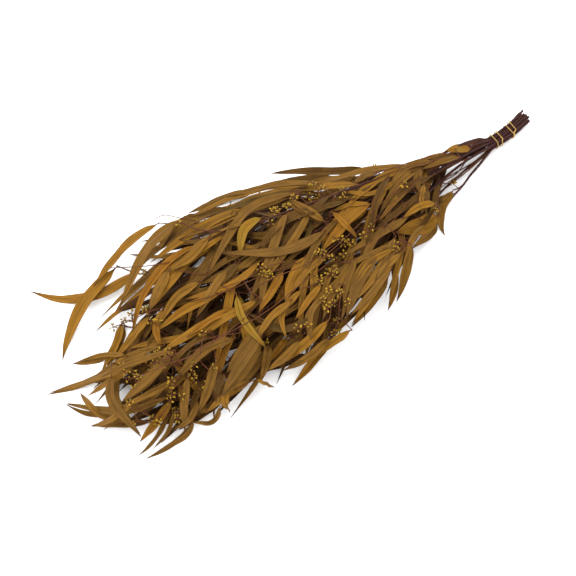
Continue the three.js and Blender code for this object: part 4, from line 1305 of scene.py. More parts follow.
def spread_over(tree, value, low, high, to_low=0.0, to_high=1.0):
    """A value eased from one range to another."""
    inputs = {"Value": value, "From Min": low, "From Max": high, "To Min": to_low, "To Max": to_high}
    return first_output(tree, "ShaderNodeMapRange", inputs, interpolation_type="SMOOTHSTEP")


def roughen(tree, shader, height, strength, distance):
    """Bumps the surface by a height."""
    inputs = {"Height": height, "Strength": strength, "Distance": distance}
    tree.links.new(first_output(tree, "ShaderNodeBump", inputs), shader.inputs["Normal"])


# Dry plant matter is mottled: broad patches where it dried unevenly, and fine specks.
mottling = bpy.data.node_groups.new("dry_mottling", "ShaderNodeTree")
mottling.interface.new_socket("Patch size", in_out="INPUT", socket_type="NodeSocketFloat")
mottling.interface.new_socket("Speck size", in_out="INPUT", socket_type="NodeSocketFloat")
mottling.interface.new_socket("Offset", in_out="INPUT", socket_type="NodeSocketFloat")
for output_name in ("Patches", "Specks", "Grain"):
    mottling.interface.new_socket(output_name, in_out="OUTPUT", socket_type="NodeSocketFloat")
mottling_in = add_node(mottling, "NodeGroupInput").outputs
place_on_object = add_node(mottling, "ShaderNodeTexCoord").outputs["Object"]
mottling_out = {}
for output_name, size_name, detail in (("Patches", "Patch size", 3), ("Grain", "Speck size", 2)):
    scale = maths(mottling, "DIVIDE", 1.0, mottling_in[size_name])
    noise_inputs = {
        "Vector": place_on_object, "W": mottling_in["Offset"], "Scale": scale, "Detail": detail,
    }
    noise = add_node(mottling, "ShaderNodeTexNoise", noise_inputs, noise_dimensions="4D")
    mottling_out[output_name] = noise.outputs["Fac"]
mottling_out["Specks"] = spread_over(mottling, mottling_out["Grain"], *SPECK_SPREAD)
add_node(mottling, "NodeGroupOutput", mottling_out)


def add_mottling(tree, patch_size, speck_size, offset=0.0):
    """The mottling's outputs in a material, with its own sizes."""
    inputs = {"Patch size": patch_size, "Speck size": speck_size, "Offset": offset}
    return add_node(tree, "ShaderNodeGroup", inputs, node_tree=mottling).outputs


def bark_material():
    material, tree, shader = new_material("dried_bark")
    run = attribute(tree, "run")
    around = times(tree, attribute(tree, "around"), 2 * math.pi)
    ridge_place = first_output(tree, "ShaderNodeCombineXYZ", {
        0: times(tree, run, RIDGES_ALONG),
        1: times(tree, maths(tree, "SINE", around), RIDGES_AROUND),
        2: times(tree, maths(tree, "COSINE", around), RIDGES_AROUND),
    })
    ridge_inputs = {"Vector": ridge_place, **RIDGE_NOISE}
    ridges = add_node(tree, "ShaderNodeTexNoise", ridge_inputs).outputs["Fac"]
    dry = add_mottling(tree, BARK_PATCH_SIZE, BARK_SPECK_SIZE)
    grown = spread_over(tree, attribute(tree, "thick"), *THICKNESS_SPREAD)
    colour = blend(tree, grown, TWIG_BARK, STEM_BARK)
    colour = blend(tree, spread_over(tree, ridges, *RIDGE_SPREAD), colour, RIDGE_BARK)
    patches = spread_over(tree, dry["Patches"], *BARK_PATCH_SPREAD)
    colour = blend(tree, patches, colour, PATCH_BARK)
    is_cut = maths(tree, "LESS_THAN", run, CUT_FACE_RUN)
    colour = blend(tree, is_cut, colour, CUT_WOOD)
    tree.links.new(colour, shader.inputs["Base Color"])
    tree.links.new(spread_over(tree, dry["Grain"], *BARK_ROUGHNESS), shader.inputs["Roughness"])
    height = maths(tree, "ADD", ridges, times(tree, dry["Grain"], BARK_GRAIN_HEIGHT))
    roughen(tree, shader, height, *BARK_RELIEF)
    shader.inputs["Specular IOR Level"].default_value = BARK_GLOSS
    return material


def bark_tree():
    """Round rods along paths, as thick as the paths say, with a little swelling here and there."""
    inputs = {"Step": "Float", "Sides": "Int", "Swelling": "Float", "Bark": "Material"}
    tree, given = new_growth("bark_along_paths", inputs)
    curve = smooth_curve(tree, given["Geometry"], "LENGTH", Length=given["Step"])
    run = add_node(tree, "GeometryNodeSplineParameter").outputs["Length"]
    curve = store(tree, curve, "run", run)
    lumps = add_node(tree, "ShaderNodeTexNoise", LUMP_NOISE).outputs["Fac"]
    swell = times(tree, maths(tree, "SUBTRACT", lumps, 0.5), given["Swelling"])
    thick = times(tree, named(tree, "thick"), maths(tree, "ADD", swell, 1.0))
    circle_inputs = {"Resolution": given["Sides"], "Radius": 1.0}
    profile = first_output(tree, "GeometryNodeCurvePrimitiveCircle", circle_inputs)
    turn_share = add_node(tree, "GeometryNodeSplineParameter").outputs["Factor"]
    profile = store(tree, profile, "around", turn_share)
    rod = first_output(tree, "GeometryNodeCurveToMesh", {
        "Curve": curve, "Profile Curve": profile, "Scale": thick, "Fill Caps": True,
    })
    finish_growth(tree, rod, given["Bark"])
    return tree


dried_bark = bark_material()
bark_growth = bark_tree()


def wood_path(points, radii, kink=0.0):
    """A path of wood through points in millimetres, kinked at random between its ends."""
    path = []
    for k, (x, y, z) in enumerate(points):
        loose = kink if 0 < k < len(points) - 1 else 0.0
        x += scatter(loose)
        y += scatter(loose)
        z = max(z + abs(scatter(loose)) / 2, radii[k] + TABLE_GAP)
        path.append((in_frame(x, y, z), {"thick": radii[k] * MM}))
    return path


def places_of(path):
    return [(p.x, p.y, p.z) for p in path]


def stalk_of(leaf):
    """The path of a leaf's stalk, which runs on into its midrib."""
    shares = [PETIOLE_TO * k / (len(PETIOLE_RADII) - 1) for k in range(len(PETIOLE_RADII))]
    return wood_path([route_point(places_of(leaf), share) for share in shares], PETIOLE_RADII)


def stem_wood(line, twigs, leaves):
    """The paths of a stem, whose cut end is set back a hair, its twigs and its leaf stalks."""
    paths = []
    for rod_line, kink in [(line, STEM_KINK), *((twig, SIDE_TWIG_KINK) for twig in twigs)]:
        points = places_of(rod_line)
        if rod_line is line:
            points[0] = (line[0].x - CUT_SETBACK, line[0].y, line[0].z)
        paths.append(wood_path(points, [p.deep * STEM_ROUNDING for p in rod_line], kink))
    return paths + [stalk_of(leaf) for leaf in leaves]


# Bud clusters. A eucalyptus carries its buds in umbels: a stalk with six or seven buds that
# spread from its end. A bud is a small yellow-green cup on a reddish foot, with a pointed cap.
EXTRA_BUDS = 3
EXTRA_BUD_LIFT = (0.3, 1.1)
BUD_SIZE = (0.0023, 0.0038)
PEDICEL_LENGTH = 2.2
UMBEL_STALK_RADII = (0.5, 0.4)
PEDICEL_RADII = (0.32, 0.26)
BUD_SIDES = 6
BUD_PROFILE = [(0.0, 0.08), (0.25, 0.24), (0.5, 0.34), (0.62, 0.32), (0.8, 0.18), (1.0, 0.02)]
BUD_SEED = 77
BUD_YELLOW = (0.38, 0.225, 0.016, 1)
BUD_GREEN = (0.13, 0.080, 0.009, 1)
BUD_FOOT = (0.20, 0.085, 0.03, 1)
BUD_PATCH = (0.24, 0.12, 0.012, 1)
BUD_SEAM = (0.16, 0.10, 0.02, 1)
SEAM_AT = 0.62
SEAM_SPREAD = (0.0, 0.05)
SEAM_SHARE = 0.6
FOOT_SPREAD = (0.30, 0.0)
BUD_PATCH_SPREAD = (0.45, 0.75, 0.0, 0.6)
BUD_PATCH_SIZE = 0.004
BUD_SPECK_SIZE = 0.0006
BUD_RELIEF = (0.35, 0.0003)
BUD_ROUGHNESS = (0.3, 0.7, 0.42, 0.62)
BUD_GLOSS = 0.12

bud_chance = random.Random(BUD_SEED)


def bud_material():
    material, tree, shader = new_material("dried_bud")
    up_bud = attribute(tree, "up_bud")
    ripeness = attribute(tree, "ripeness")
    dry = add_mottling(tree, BUD_PATCH_SIZE, BUD_SPECK_SIZE)
    colour = blend(tree, ripeness, BUD_GREEN, BUD_YELLOW)
    patches = spread_over(tree, dry["Patches"], *BUD_PATCH_SPREAD)
    colour = blend(tree, patches, colour, BUD_PATCH)
    colour = blend(tree, spread_over(tree, up_bud, *FOOT_SPREAD), colour, BUD_FOOT)
    off_seam = maths(tree, "ABSOLUTE", maths(tree, "SUBTRACT", up_bud, SEAM_AT))
    seam = maths(tree, "SUBTRACT", 1.0, spread_over(tree, off_seam, *SEAM_SPREAD))
    colour = blend(tree, times(tree, seam, SEAM_SHARE), colour, BUD_SEAM)
    tree.links.new(colour, shader.inputs["Base Color"])
    tree.links.new(spread_over(tree, dry["Grain"], *BUD_ROUGHNESS), shader.inputs["Roughness"])
    roughen(tree, shader, dry["Grain"], *BUD_RELIEF)
    shader.inputs["Specular IOR Level"].default_value = BUD_GLOSS
    return material


dried_bud = bud_material()

# The bud that is repeated: rings of its outline about +Z, closed at both ends.
bud_places, bud_faces, bud_heights = [], [], []
for ring, (height, radius) in enumerate(BUD_PROFILE):
    for side in range(BUD_SIDES):
        angle = 2 * math.pi * side / BUD_SIDES
        bud_places.append((radius * math.cos(angle), radius * math.sin(angle), height))
        bud_heights.append(height)
        if ring:
            a = (ring - 1) * BUD_SIDES + side
            b = (ring - 1) * BUD_SIDES + (side + 1) % BUD_SIDES
            bud_faces.append((a, b, b + BUD_SIDES, a + BUD_SIDES))
bud_faces.append(tuple(reversed(range(BUD_SIDES))))
bud_faces.append(tuple(range(len(bud_places) - BUD_SIDES, len(bud_places))))
bud_mesh = bpy.data.meshes.new("bud_shape")
bud_mesh.from_pydata(bud_places, [], bud_faces)
bud_mesh.attributes.new("up_bud", "FLOAT", "POINT").data.foreach_set("value", bud_heights)
bud_shape = bpy.data.objects.new("bud_shape", bud_mesh)


def bud_tree():
    """A bud on each point, turned to its aim and of its size."""
    tree, given = new_growth("buds_on_points", {"Bud": "Object", "Skin": "Material"})
    bud = add_node(tree, "GeometryNodeObjectInfo", {"Object": given["Bud"]}).outputs["Geometry"]
    aim_inputs = {k: named(tree, "aim_" + axis) for k, axis in enumerate("xyz")}
    aim = first_output(tree, "ShaderNodeCombineXYZ", aim_inputs)
    turned = first_output(tree, "FunctionNodeAlignRotationToVector", {"Vector": aim}, axis="Z")
    buds = first_output(tree, "GeometryNodeInstanceOnPoints", {
        "Points": given["Geometry"], "Instance": bud, "Rotation": turned, "Scale": named(tree, "size"),
    })
    finish_growth(tree, buds, given["Skin"])
    return tree


bud_growth = bud_tree()


def umbel_parts(base, hub, aims, extra=0):
    """The wood paths and the bud points of one umbel, with buds added between the aims."""
    paths = [wood_path([(base.x, base.y, base.z), (hub.x, hub.y, hub.z)], UMBEL_STALK_RADII)]
    all_aims = list(aims)
    for k in range(extra):
        first, second = Vector(aims[k]), Vector(aims[(k + 1) % len(aims)])
        between = first + second + Vector((0, 0, bud_chance.uniform(*EXTRA_BUD_LIFT)))
        all_aims.append(between.normalized())
    points = []
    for aim_x, aim_y, aim_z in all_aims:
        start = (
            hub.x + aim_x * PEDICEL_LENGTH,
            hub.y + aim_y * PEDICEL_LENGTH,
            hub.z + aim_z * PEDICEL_LENGTH,
        )
        paths.append(wood_path([(hub.x, hub.y, hub.z), start], PEDICEL_RADII))
        points.append([(in_frame(*start), {
            "aim_x": aim_x, "aim_y": aim_y, "aim_z": aim_z,
            "size": bud_chance.uniform(*BUD_SIZE), "ripeness": bud_chance.random(),
        })])
    return paths, points


# Leaves. Each is a long, sickle-shaped, leathery blade on a short stalk, dried to ochre, tan
# or olive. It is folded a little along its midrib, waved at its edges and drawn out to a thin
# tip, with fine side veins that meet a vein just inside each edge.
# Where a leaf lies deep under others, its colour is darkened as painted shade.
BLADE_STATIONS = 30
BLADE_CELLS = 8
BLADE_THICKNESS = 0.00042
FOLD_SLOPE = (0.12, 0.50)
WAVE_HEIGHT = 0.0007
WAVES_ALONG = 2.6
WIDTH_CURVE = [
    (0.0, 0.08), (0.04, 0.11), (0.08, 0.30), (0.15, 0.74), (0.26, 0.97), (0.42, 1.0),
    (0.58, 0.94), (0.74, 0.72), (0.87, 0.40), (0.95, 0.16), (1.0, 0.02),
]
EDGE_PHASE = 0.19
LOWEST = 0.0001
MERGE_DISTANCE = 0.000001
RIM_ANGLE = 0.8
FOLD_WAYS = (-0.7, 1, 1)
RULED_SLIMNESS = (0.60, 0.86)
OUTER_PLACE = (300, 120)
RULED_TONE = 0.30
OUTER_TONE = 0.26
TONE_SCATTER = 0.17
TONE_LIMITS = (0.02, 0.86)
# How far round a leaf point the depth under other leaves is looked for, for its painted shade
PAINTED_SHADE_REACH = 8
LEAF_SEED = 58

LEAF_PATCH_SIZE = 0.014
LEAF_SPECK_SIZE = 0.0011
PHASE_TO_OFFSET = 7.0
TONE_SHIFT = 0.3
STREAK_NOISE = {"Scale": 1.5, "Detail": 4}
STREAKS_ALONG = 45.0
STREAKS_ACROSS = 3.2
STREAK_LIGHT = (0.32, 0.70, 0.82, 1.18)
SIDE_VEIN_SLANT = 1.5
SIDE_VEIN_PITCH = 0.0026
SIDE_VEIN_JITTER = 0.004
SIDE_VEIN_SPREAD = (0.12, 0.02)
EDGE_VEIN_AT = 0.88
EDGE_VEIN_SPREAD = (0.03, 0.0)
MIDRIB_SPREAD = (0.00055, 0.0001)
TIP_SPREAD = (0.93, 1.05, 0.0, 0.8)
TIP_UNEVENNESS = 0.12
EDGE_SPREAD = (0.92, 1.0, 0.0, 0.4)
SPOT_SPREAD = (0.45, 0.7, 0.05, 0.6)
STALK_SPREAD = (0.10, 0.03, 0.0, 0.85)
# Painted shade: how deep a leaf part lies under others, eased to the share by which it is darkened
PAINTED_SHADE_SPREAD = (0.0, 9.0, 0.0, 0.85)
UNDERSIDE_SHARE = 0.4
VEIN_SHARE = 0.16
MIDRIB_SHARE = 0.5
VEIN_HEIGHT = 0.25
MIDRIB_HEIGHT = -0.5
STREAK_HEIGHT = 0.5
LEAF_GRAIN_HEIGHT = 0.25
LEAF_RELIEF = (0.55, 0.0005)
LEAF_ROUGHNESS = (0.3, 0.7, 0.5, 0.66)
LEAF_GLOSS = 0.05
# The deep red-brown of painted shade, for leaf parts that lie under other leaves
PAINTED_SHADE_BROWN = (0.030, 0.012, 0.004, 1)
UNDERSIDE_TAN = (0.175, 0.102, 0.026, 1)
VEIN_OCHRE = (0.26, 0.15, 0.028, 1)
TIP_BROWN = (0.055, 0.027, 0.010, 1)
EDGE_BROWN = (0.090, 0.036, 0.009, 1)
SPOT_BROWN = (0.085, 0.045, 0.018, 1)
MIDRIB_BROWN = (0.045, 0.019, 0.006, 1)

# Colours of a dried leaf by its tone: olive, dark brown, brown, ochre, tan, rust and dull yellow
LEAF_TONES = [
    (0.00, (0.072, 0.044, 0.010, 1)),
    (0.18, (0.052, 0.024, 0.005, 1)),
    (0.38, (0.096, 0.0465, 0.009, 1)),
    (0.56, (0.131, 0.0635, 0.011, 1)),
    (0.74, (0.184, 0.085, 0.009, 1)),
    (0.88, (0.172, 0.070, 0.007, 1)),
    (1.00, (0.176, 0.101, 0.011, 1)),
]

leaf_chance = random.Random(LEAF_SEED)


def leaf_material():
    material, tree, shader = new_material("dried_leaf")
    along, across, run, tone = (attribute(tree, key) for key in ("along", "across", "run", "tone"))
    across_either = maths(tree, "ABSOLUTE", across)
    offset = times(tree, attribute(tree, "phase"), PHASE_TO_OFFSET)
    dry = add_mottling(tree, LEAF_PATCH_SIZE, LEAF_SPECK_SIZE, offset)
    off_rib = times(tree, across_either, attribute(tree, "half_here"))

    # Streaks run along the blade and side veins leave the midrib at a slant.
    streak_place = first_output(tree, "ShaderNodeCombineXYZ", {
        0: times(tree, run, STREAKS_ALONG), 1: times(tree, across, STREAKS_ACROSS), 2: offset,
    })
    streak_inputs = {"Vector": streak_place, **STREAK_NOISE}
    streaks = add_node(tree, "ShaderNodeTexNoise", streak_inputs).outputs["Fac"]
    slanted_run = maths(tree, "SUBTRACT", run, times(tree, off_rib, SIDE_VEIN_SLANT))
    jitter = times(tree, dry["Patches"], SIDE_VEIN_JITTER)
    vein_run = maths(tree, "DIVIDE", maths(tree, "ADD", slanted_run, jitter), SIDE_VEIN_PITCH)
    side_veins = spread_over(tree, maths(tree, "PINGPONG", vein_run, 0.5), *SIDE_VEIN_SPREAD)
    edge_off = maths(tree, "ABSOLUTE", maths(tree, "SUBTRACT", across_either, EDGE_VEIN_AT))
    edge_vein = spread_over(tree, edge_off, *EDGE_VEIN_SPREAD)
    veins = maths(tree, "MAXIMUM", side_veins, edge_vein)
    midrib = spread_over(tree, off_rib, *MIDRIB_SPREAD)

    shift = times(tree, maths(tree, "SUBTRACT", dry["Patches"], 0.5), TONE_SHIFT)
    ramp = add_node(tree, "ShaderNodeValToRGB", {"Fac": maths(tree, "ADD", tone, shift)})
    stops = ramp.color_ramp.elements
    for k, (position, tone_colour) in enumerate(LEAF_TONES):
        stop = stops[k] if k < 2 else stops.new(position)
        stop.position = position
        stop.color = tone_colour
    light_streaks = spread_over(tree, streaks, *STREAK_LIGHT)
    grey = first_output(tree, "ShaderNodeCombineColor", {k: light_streaks for k in range(3)})
    colour = blend(tree, 1.0, ramp.outputs["Color"], grey, "MULTIPLY")
    uneven_along = maths(tree, "ADD", along, times(tree, streaks, TIP_UNEVENNESS))
    spotted = spread_over(tree, dry["Patches"], *SPOT_SPREAD)

    # Each tint lies over those before it, by its share.
    for share, tint in (
        (times(tree, attribute(tree, "underside"), UNDERSIDE_SHARE), UNDERSIDE_TAN),
        (times(tree, veins, VEIN_SHARE), VEIN_OCHRE),
        (spread_over(tree, uneven_along, *TIP_SPREAD), TIP_BROWN),
        (spread_over(tree, across_either, *EDGE_SPREAD), EDGE_BROWN),
        (times(tree, dry["Specks"], spotted), SPOT_BROWN),
        (times(tree, midrib, MIDRIB_SHARE), MIDRIB_BROWN),
        (spread_over(tree, along, *STALK_SPREAD), TWIG_BARK),
        # Painted shade: leaf parts that lie deep under other leaves are darkened
        (spread_over(tree, attribute(tree, "painted_shade_depth"), *PAINTED_SHADE_SPREAD), PAINTED_SHADE_BROWN),
    ):
        colour = blend(tree, share, colour, tint)
    tree.links.new(colour, shader.inputs["Base Color"])
    tree.links.new(spread_over(tree, streaks, *LEAF_ROUGHNESS), shader.inputs["Roughness"])
    shader.inputs["Specular IOR Level"].default_value = LEAF_GLOSS

    height = maths(tree, "ADD", times(tree, veins, VEIN_HEIGHT), times(tree, midrib, MIDRIB_HEIGHT))
    height = maths(tree, "ADD", height, times(tree, streaks, STREAK_HEIGHT))
    height = maths(tree, "ADD", height, times(tree, dry["Grain"], LEAF_GRAIN_HEIGHT))
    roughen(tree, shader, height, *LEAF_RELIEF)
    return material


def flat_blade(tree, given):
    """A flat strip along each path, as wide at each place as the leaf is there."""
    curve = smooth_curve(tree, given["Geometry"], "COUNT", Count=given["Stations"])
    curve = first_output(tree, "GeometryNodeSetCurveNormal", {"Curve": curve}, mode="Z_UP")
    tilt = {"Curve": curve, "Tilt": named(tree, "roll")}
    curve = first_output(tree, "GeometryNodeSetCurveTilt", tilt)
    spline = add_node(tree, "GeometryNodeSplineParameter").outputs
    curve = store(tree, curve, "along", spline["Factor"])
    curve = store(tree, curve, "run", spline["Length"])
    width_node = add_node(tree, "ShaderNodeFloatCurve", {"Value": spline["Factor"]})
    width_line = width_node.mapping.curves[0]
    for k, point in enumerate(WIDTH_CURVE):
        if k < 2:
            width_line.points[k].location = point
        else:
            width_line.points.new(*point)
    width_node.mapping.update()
    half_here = times(tree, width_node.outputs[0], named(tree, "half_width"))
    curve = store(tree, curve, "half_here", half_here)

    line_ends = {"Start": (-1, 0, 0), "End": (1, 0, 0)}
    profile = first_output(tree, "GeometryNodeCurvePrimitiveLine", line_ends)
    points = {"Curve": profile, "Count": maths(tree, "ADD", given["Cells"], 1)}
    profile = first_output(tree, "GeometryNodeResampleCurve", points, mode="COUNT")
    place = first_output(tree, "GeometryNodeInputPosition")
    profile = store(tree, profile, "across", first_output(tree, "ShaderNodeSeparateXYZ", {0: place}))
    return first_output(tree, "GeometryNodeCurveToMesh", {
        "Curve": curve, "Profile Curve": profile, "Scale": named(tree, "half_here"),
    })


def shaped_blade(tree, given, blade):
    """The strip folded along its midrib, with both edges waved, and kept above the table."""
    across = named(tree, "across")
    off_rib = maths(tree, "ABSOLUTE", across)
    half_here = named(tree, "half_here")
    folded = times(tree, named(tree, "fold"), half_here, off_rib)
    cycles = times(tree, named(tree, "along"), given["Waves"])
    edge_phase = times(tree, maths(tree, "SIGN", across), EDGE_PHASE)
    own_phase = maths(tree, "ADD", named(tree, "phase"), edge_phase)
    angle = times(tree, maths(tree, "ADD", cycles, own_phase), 2 * math.pi)
    edge_share = maths(tree, "POWER", off_rib, 2.0)
    wide_share = maths(tree, "DIVIDE", half_here, named(tree, "half_width"))
    wave_height = times(tree, given["Wave"], times(tree, edge_share, wide_share))
    wave = times(tree, maths(tree, "SINE", angle), wave_height)
    normal = add_node(tree, "GeometryNodeInputNormal").outputs["Normal"]
    lift_inputs = {0: normal, "Scale": maths(tree, "ADD", folded, wave)}
    lift = first_output(tree, "ShaderNodeVectorMath", lift_inputs, operation="SCALE")
    moved = {"Geometry": blade, "Offset": lift}
    blade = first_output(tree, "GeometryNodeSetPosition", moved)
    place = first_output(tree, "GeometryNodeInputPosition")
    x, y, z = add_node(tree, "ShaderNodeSeparateXYZ", {0: place}).outputs
    above = {0: x, 1: y, 2: maths(tree, "MAXIMUM", z, LOWEST)}
    kept = {"Geometry": blade, "Position": first_output(tree, "ShaderNodeCombineXYZ", above)}
    return first_output(tree, "GeometryNodeSetPosition", kept)


def thick_blade(tree, given, blade):
    """The blade with its thickness: a raised copy is its upper face, and the first turns over."""
    raise_inputs = {"Mesh": blade, "Offset Scale": given["Thickness"], "Individual": False}
    raised = add_node(tree, "GeometryNodeExtrudeMesh", raise_inputs, mode="FACES").outputs["Mesh"]
    upper = store(tree, raised, "underside", 0.0, "FACE")
    lower = first_output(tree, "GeometryNodeFlipFaces", {"Mesh": blade})
    lower = store(tree, lower, "underside", 1.0, "FACE")
    both = add_node(tree, "GeometryNodeJoinGeometry")
    tree.links.new(lower, both.inputs[0])
    tree.links.new(upper, both.inputs[0])
    merged = {"Geometry": both.outputs[0], "Distance": MERGE_DISTANCE}
    closed = first_output(tree, "GeometryNodeMergeByDistance", merged)
    bend = first_output(tree, "GeometryNodeInputMeshEdgeAngle")
    is_rim = maths(tree, "GREATER_THAN", bend, RIM_ANGLE)
    rim = {"Geometry": closed, "Selection": is_rim, "Shade Smooth": False}
    return first_output(tree, "GeometryNodeSetShadeSmooth", rim, domain="EDGE")


def blade_tree():
    """Leaf blades along paths."""
    tree, given = new_growth("blade_along_paths", {
        "Stations": "Int", "Cells": "Int", "Thickness": "Float",
        "Wave": "Float", "Waves": "Float", "Skin": "Material",
    })
    blade = shaped_blade(tree, given, flat_blade(tree, given))
    finish_growth(tree, thick_blade(tree, given, blade), given["Skin"])
    return tree


dried_leaf = leaf_material()
blade_growth = blade_tree()


def depth_for_painted_shade(p):
    """How much lies above a point, at the least of the places round it: the depth that sets the leaf's
    painted shade.
    """
    around = [(0, 0), (PAINTED_SHADE_REACH, 0), (-PAINTED_SHADE_REACH, 0), (0, PAINTED_SHADE_REACH), (0, -PAINTED_SHADE_REACH)]
    return max(0.0, min(pile[cell_of(p.x + dx, p.y + dy)] for dx, dy in around) - p.z)


def leaf_path(leaf, look=None):
    """A blade's path with what its shape and colour need. A look is its slimness and tone."""
    if look:
        slimness, tone = look
    else:
        outer = min(1.0, math.hypot(leaf[-1].x / OUTER_PLACE[0], leaf[-1].y / OUTER_PLACE[1]))
        slimness = leaf_chance.uniform(*RULED_SLIMNESS)
        tone = leaf_chance.gauss(RULED_TONE + OUTER_TONE * outer, TONE_SCATTER)
        tone = min(max(tone, TONE_LIMITS[0]), TONE_LIMITS[1])
    fold = leaf_chance.uniform(*FOLD_SLOPE) * leaf_chance.choice(FOLD_WAYS)
    phase = leaf_chance.random()
    half_width = max(p.half for p in leaf) * slimness * MM
    path = []
    for p in leaf:
        numbers = {
            "roll": p.roll, "half_width": half_width, "fold": fold, "phase": phase, "tone": tone,
            # The depth under other leaves darkens a leaf as painted shade; the leaves shown on top get
            # none.
            "painted_shade_depth": 0.0 if look else depth_for_painted_shade(p),
        }
        path.append((in_frame(p.x, p.y, p.z), numbers))
    return path


def grow_wood(name, paths):
    return grow(name, path_mesh("wood_paths", paths), bark_growth, {
        "Step": BARK_STEP, "Sides": STEM_SIDES, "Swelling": BARK_SWELLING, "Bark": dried_bark,
    })


def grow_blades(name, paths, stations=BLADE_STATIONS, cells=BLADE_CELLS):
    return grow(name, path_mesh("leaf_paths", paths), blade_growth, {
        "Stations": stations, "Cells": cells, "Thickness": BLADE_THICKNESS,
        "Wave": WAVE_HEIGHT, "Waves": WAVES_ALONG, "Skin": dried_leaf,
    })


def grow_buds(name, points):
    values = {"Bud": bud_shape, "Skin": dried_bud}
    return grow(name, path_mesh("bud_points", points), bud_growth, values)


# Each laid stem gets its wood and its leaves, which take the place of its solid, and its buds.
for number, (line, twigs, leaves, umbels) in enumerate(laid_stems, start=1):
    wood = stem_wood(line, twigs, leaves)
    bud_points = []
    for umbel in umbels:
        stalks, points = umbel_parts(*umbel, EXTRA_BUDS)
        wood += stalks
        bud_points += points
    node = f"leafy_stem_{number:02d}"
    stem_piece = grow_wood(f"stem_wood_{number:02d}", wood)
    shown_looks = SHOWN_LOOKS[number - 1]
    looks = shown_looks + [None] * (len(leaves) - len(shown_looks))
    leaf_paths = [leaf_path(leaf, look) for leaf, look in zip(leaves, looks)]
    blades = grow_blades(f"leaves_{number:02d}", leaf_paths)
    buds = grow_buds(f"buds_{number:02d}", bud_points)
    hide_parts(node)
    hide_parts(node)
    for piece, slot in ((stem_piece, "dried_stem"), (blades, "dried_leaf"), (buds, "dried_bud")):
        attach(piece, "root")


# The leaves, twigs and bud clusters that fill the bunch and lie on its top. They grow from the
# stems, on thin twigs of their own. Fill leaves are broad, and have fewer faces than the rest.
FILL_BREADTH = 1.3
FILL_STATIONS = 22
FILL_CELLS = 6
TOP_TWIG_KINK = 0.4
SHOOT_KINK = 0.5

fill_wood, top_wood, cluster_wood, cluster_points = [], [], [], []
for twigs_and_leaves, woods in ((fill_leaves, fill_wood), (top_leaves, top_wood)):
    for twig, leaf, *_ in twigs_and_leaves:
        woods.append(wood_path(places_of(twig), FINE_TWIG_RADII))
        woods.append(stalk_of(leaf))
for join, path in top_twigs:
    top_wood.append(wood_path(places_of(join), FINE_TWIG_RADII))
    top_wood.append(wood_path(places_of(path), [p.deep for p in path], TOP_TWIG_KINK))
for path in side_shoots:
    fill_wood.append(wood_path(places_of(path), [p.deep for p in path], SHOOT_KINK))
for stalk, umbels in clusters:
    cluster_wood.append(wood_path(places_of(stalk), FINE_TWIG_RADII))
    for umbel in umbels:
        stalks, points = umbel_parts(*umbel)
        cluster_wood += stalks
        cluster_points += points
fill_paths = []
for _, leaf in fill_leaves:
    for p in leaf:
        p.half *= FILL_BREADTH
    fill_paths.append(leaf_path(leaf))
top_paths = [leaf_path(leaf, (1, tone)) for _, leaf, tone in top_leaves]
added_pieces = [
    (grow_wood("fill_twigs", fill_wood), "dried_stem"),
    (grow_wood("top_twigs", top_wood), "dried_stem"),
    (grow_wood("bud_stalks", cluster_wood), "dried_stem"),
    (grow_buds("bud_clusters", cluster_points), "dried_bud"),
    (grow_blades("fill_leaves", fill_paths, FILL_STATIONS, FILL_CELLS), "dried_leaf"),
    (grow_blades("top_leaves", top_paths), "dried_leaf"),
]
for piece, slot in added_pieces:
    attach(piece, "root")


# Rubber band. One long yellow band of natural rubber holds the bundle. It is wound round twice
# at each of two places. Its turns cross at the outer place and lie side by side at the inner
# one, and a strand runs between the two.
STRAND_RADIUS = 0.00056
STRAND_SIDES = 10
STRAND_STEP = 0.0009
STRAND_SWELLING = 0.05
STRAND_POINTS = 9
TURN_POINTS = 64
OVER_RISE = 0.5

# Each turn: its place along the bundle and how far it leans, in millimetres, and the angle round
# the bundle where it leans most, in degrees
BAND_TURNS = [(268, 0.5, 26), (275.5, 2.2, 26), (293.5, -1.4, 26), (297.5, 4.6, 26)]
STRAND_AT_DEG = -80
BAND_YELLOW = (0.38, 0.225, 0.038, 1)
BAND_BROWN = (0.24, 0.125, 0.018, 1)
BAND_PATCH_SIZE = 0.006
BAND_SPECK_SIZE = 0.0008
BAND_PATCH_SPREAD = (0.4, 0.7)
BAND_RELIEF = (0.2, 0.0002)
BAND_ROUGHNESS = (0.3, 0.7, 0.35, 0.5)
BAND_SUBSURFACE = 0.1


def bundle_outline(x, angle, rise=0.0):
    """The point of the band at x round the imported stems, where it faces an angle about +X."""
    reach = STEM_RADIUS * STEM_ROUNDING + STRAND_RADIUS / MM + rise
    best = None
    for row, place, *_ in STEMS:
        y, z = bundle_place(row, place, x)
        out = y * math.cos(angle) + z * math.sin(angle)
        if best is None or out > best[0]:
            best = (out, y, z)
    return (x, best[1] + reach * math.cos(angle), best[2] + reach * math.sin(angle))


def band_material():
    material, tree, shader = new_material("natural_rubber")
    dry = add_mottling(tree, BAND_PATCH_SIZE, BAND_SPECK_SIZE)
    patches = spread_over(tree, dry["Patches"], *BAND_PATCH_SPREAD)
    colour = blend(tree, patches, BAND_YELLOW, BAND_BROWN)
    tree.links.new(colour, shader.inputs["Base Color"])
    tree.links.new(spread_over(tree, dry["Grain"], *BAND_ROUGHNESS), shader.inputs["Roughness"])
    roughen(tree, shader, dry["Grain"], *BAND_RELIEF)
    shader.inputs["Subsurface Weight"].default_value = BAND_SUBSURFACE
    return material


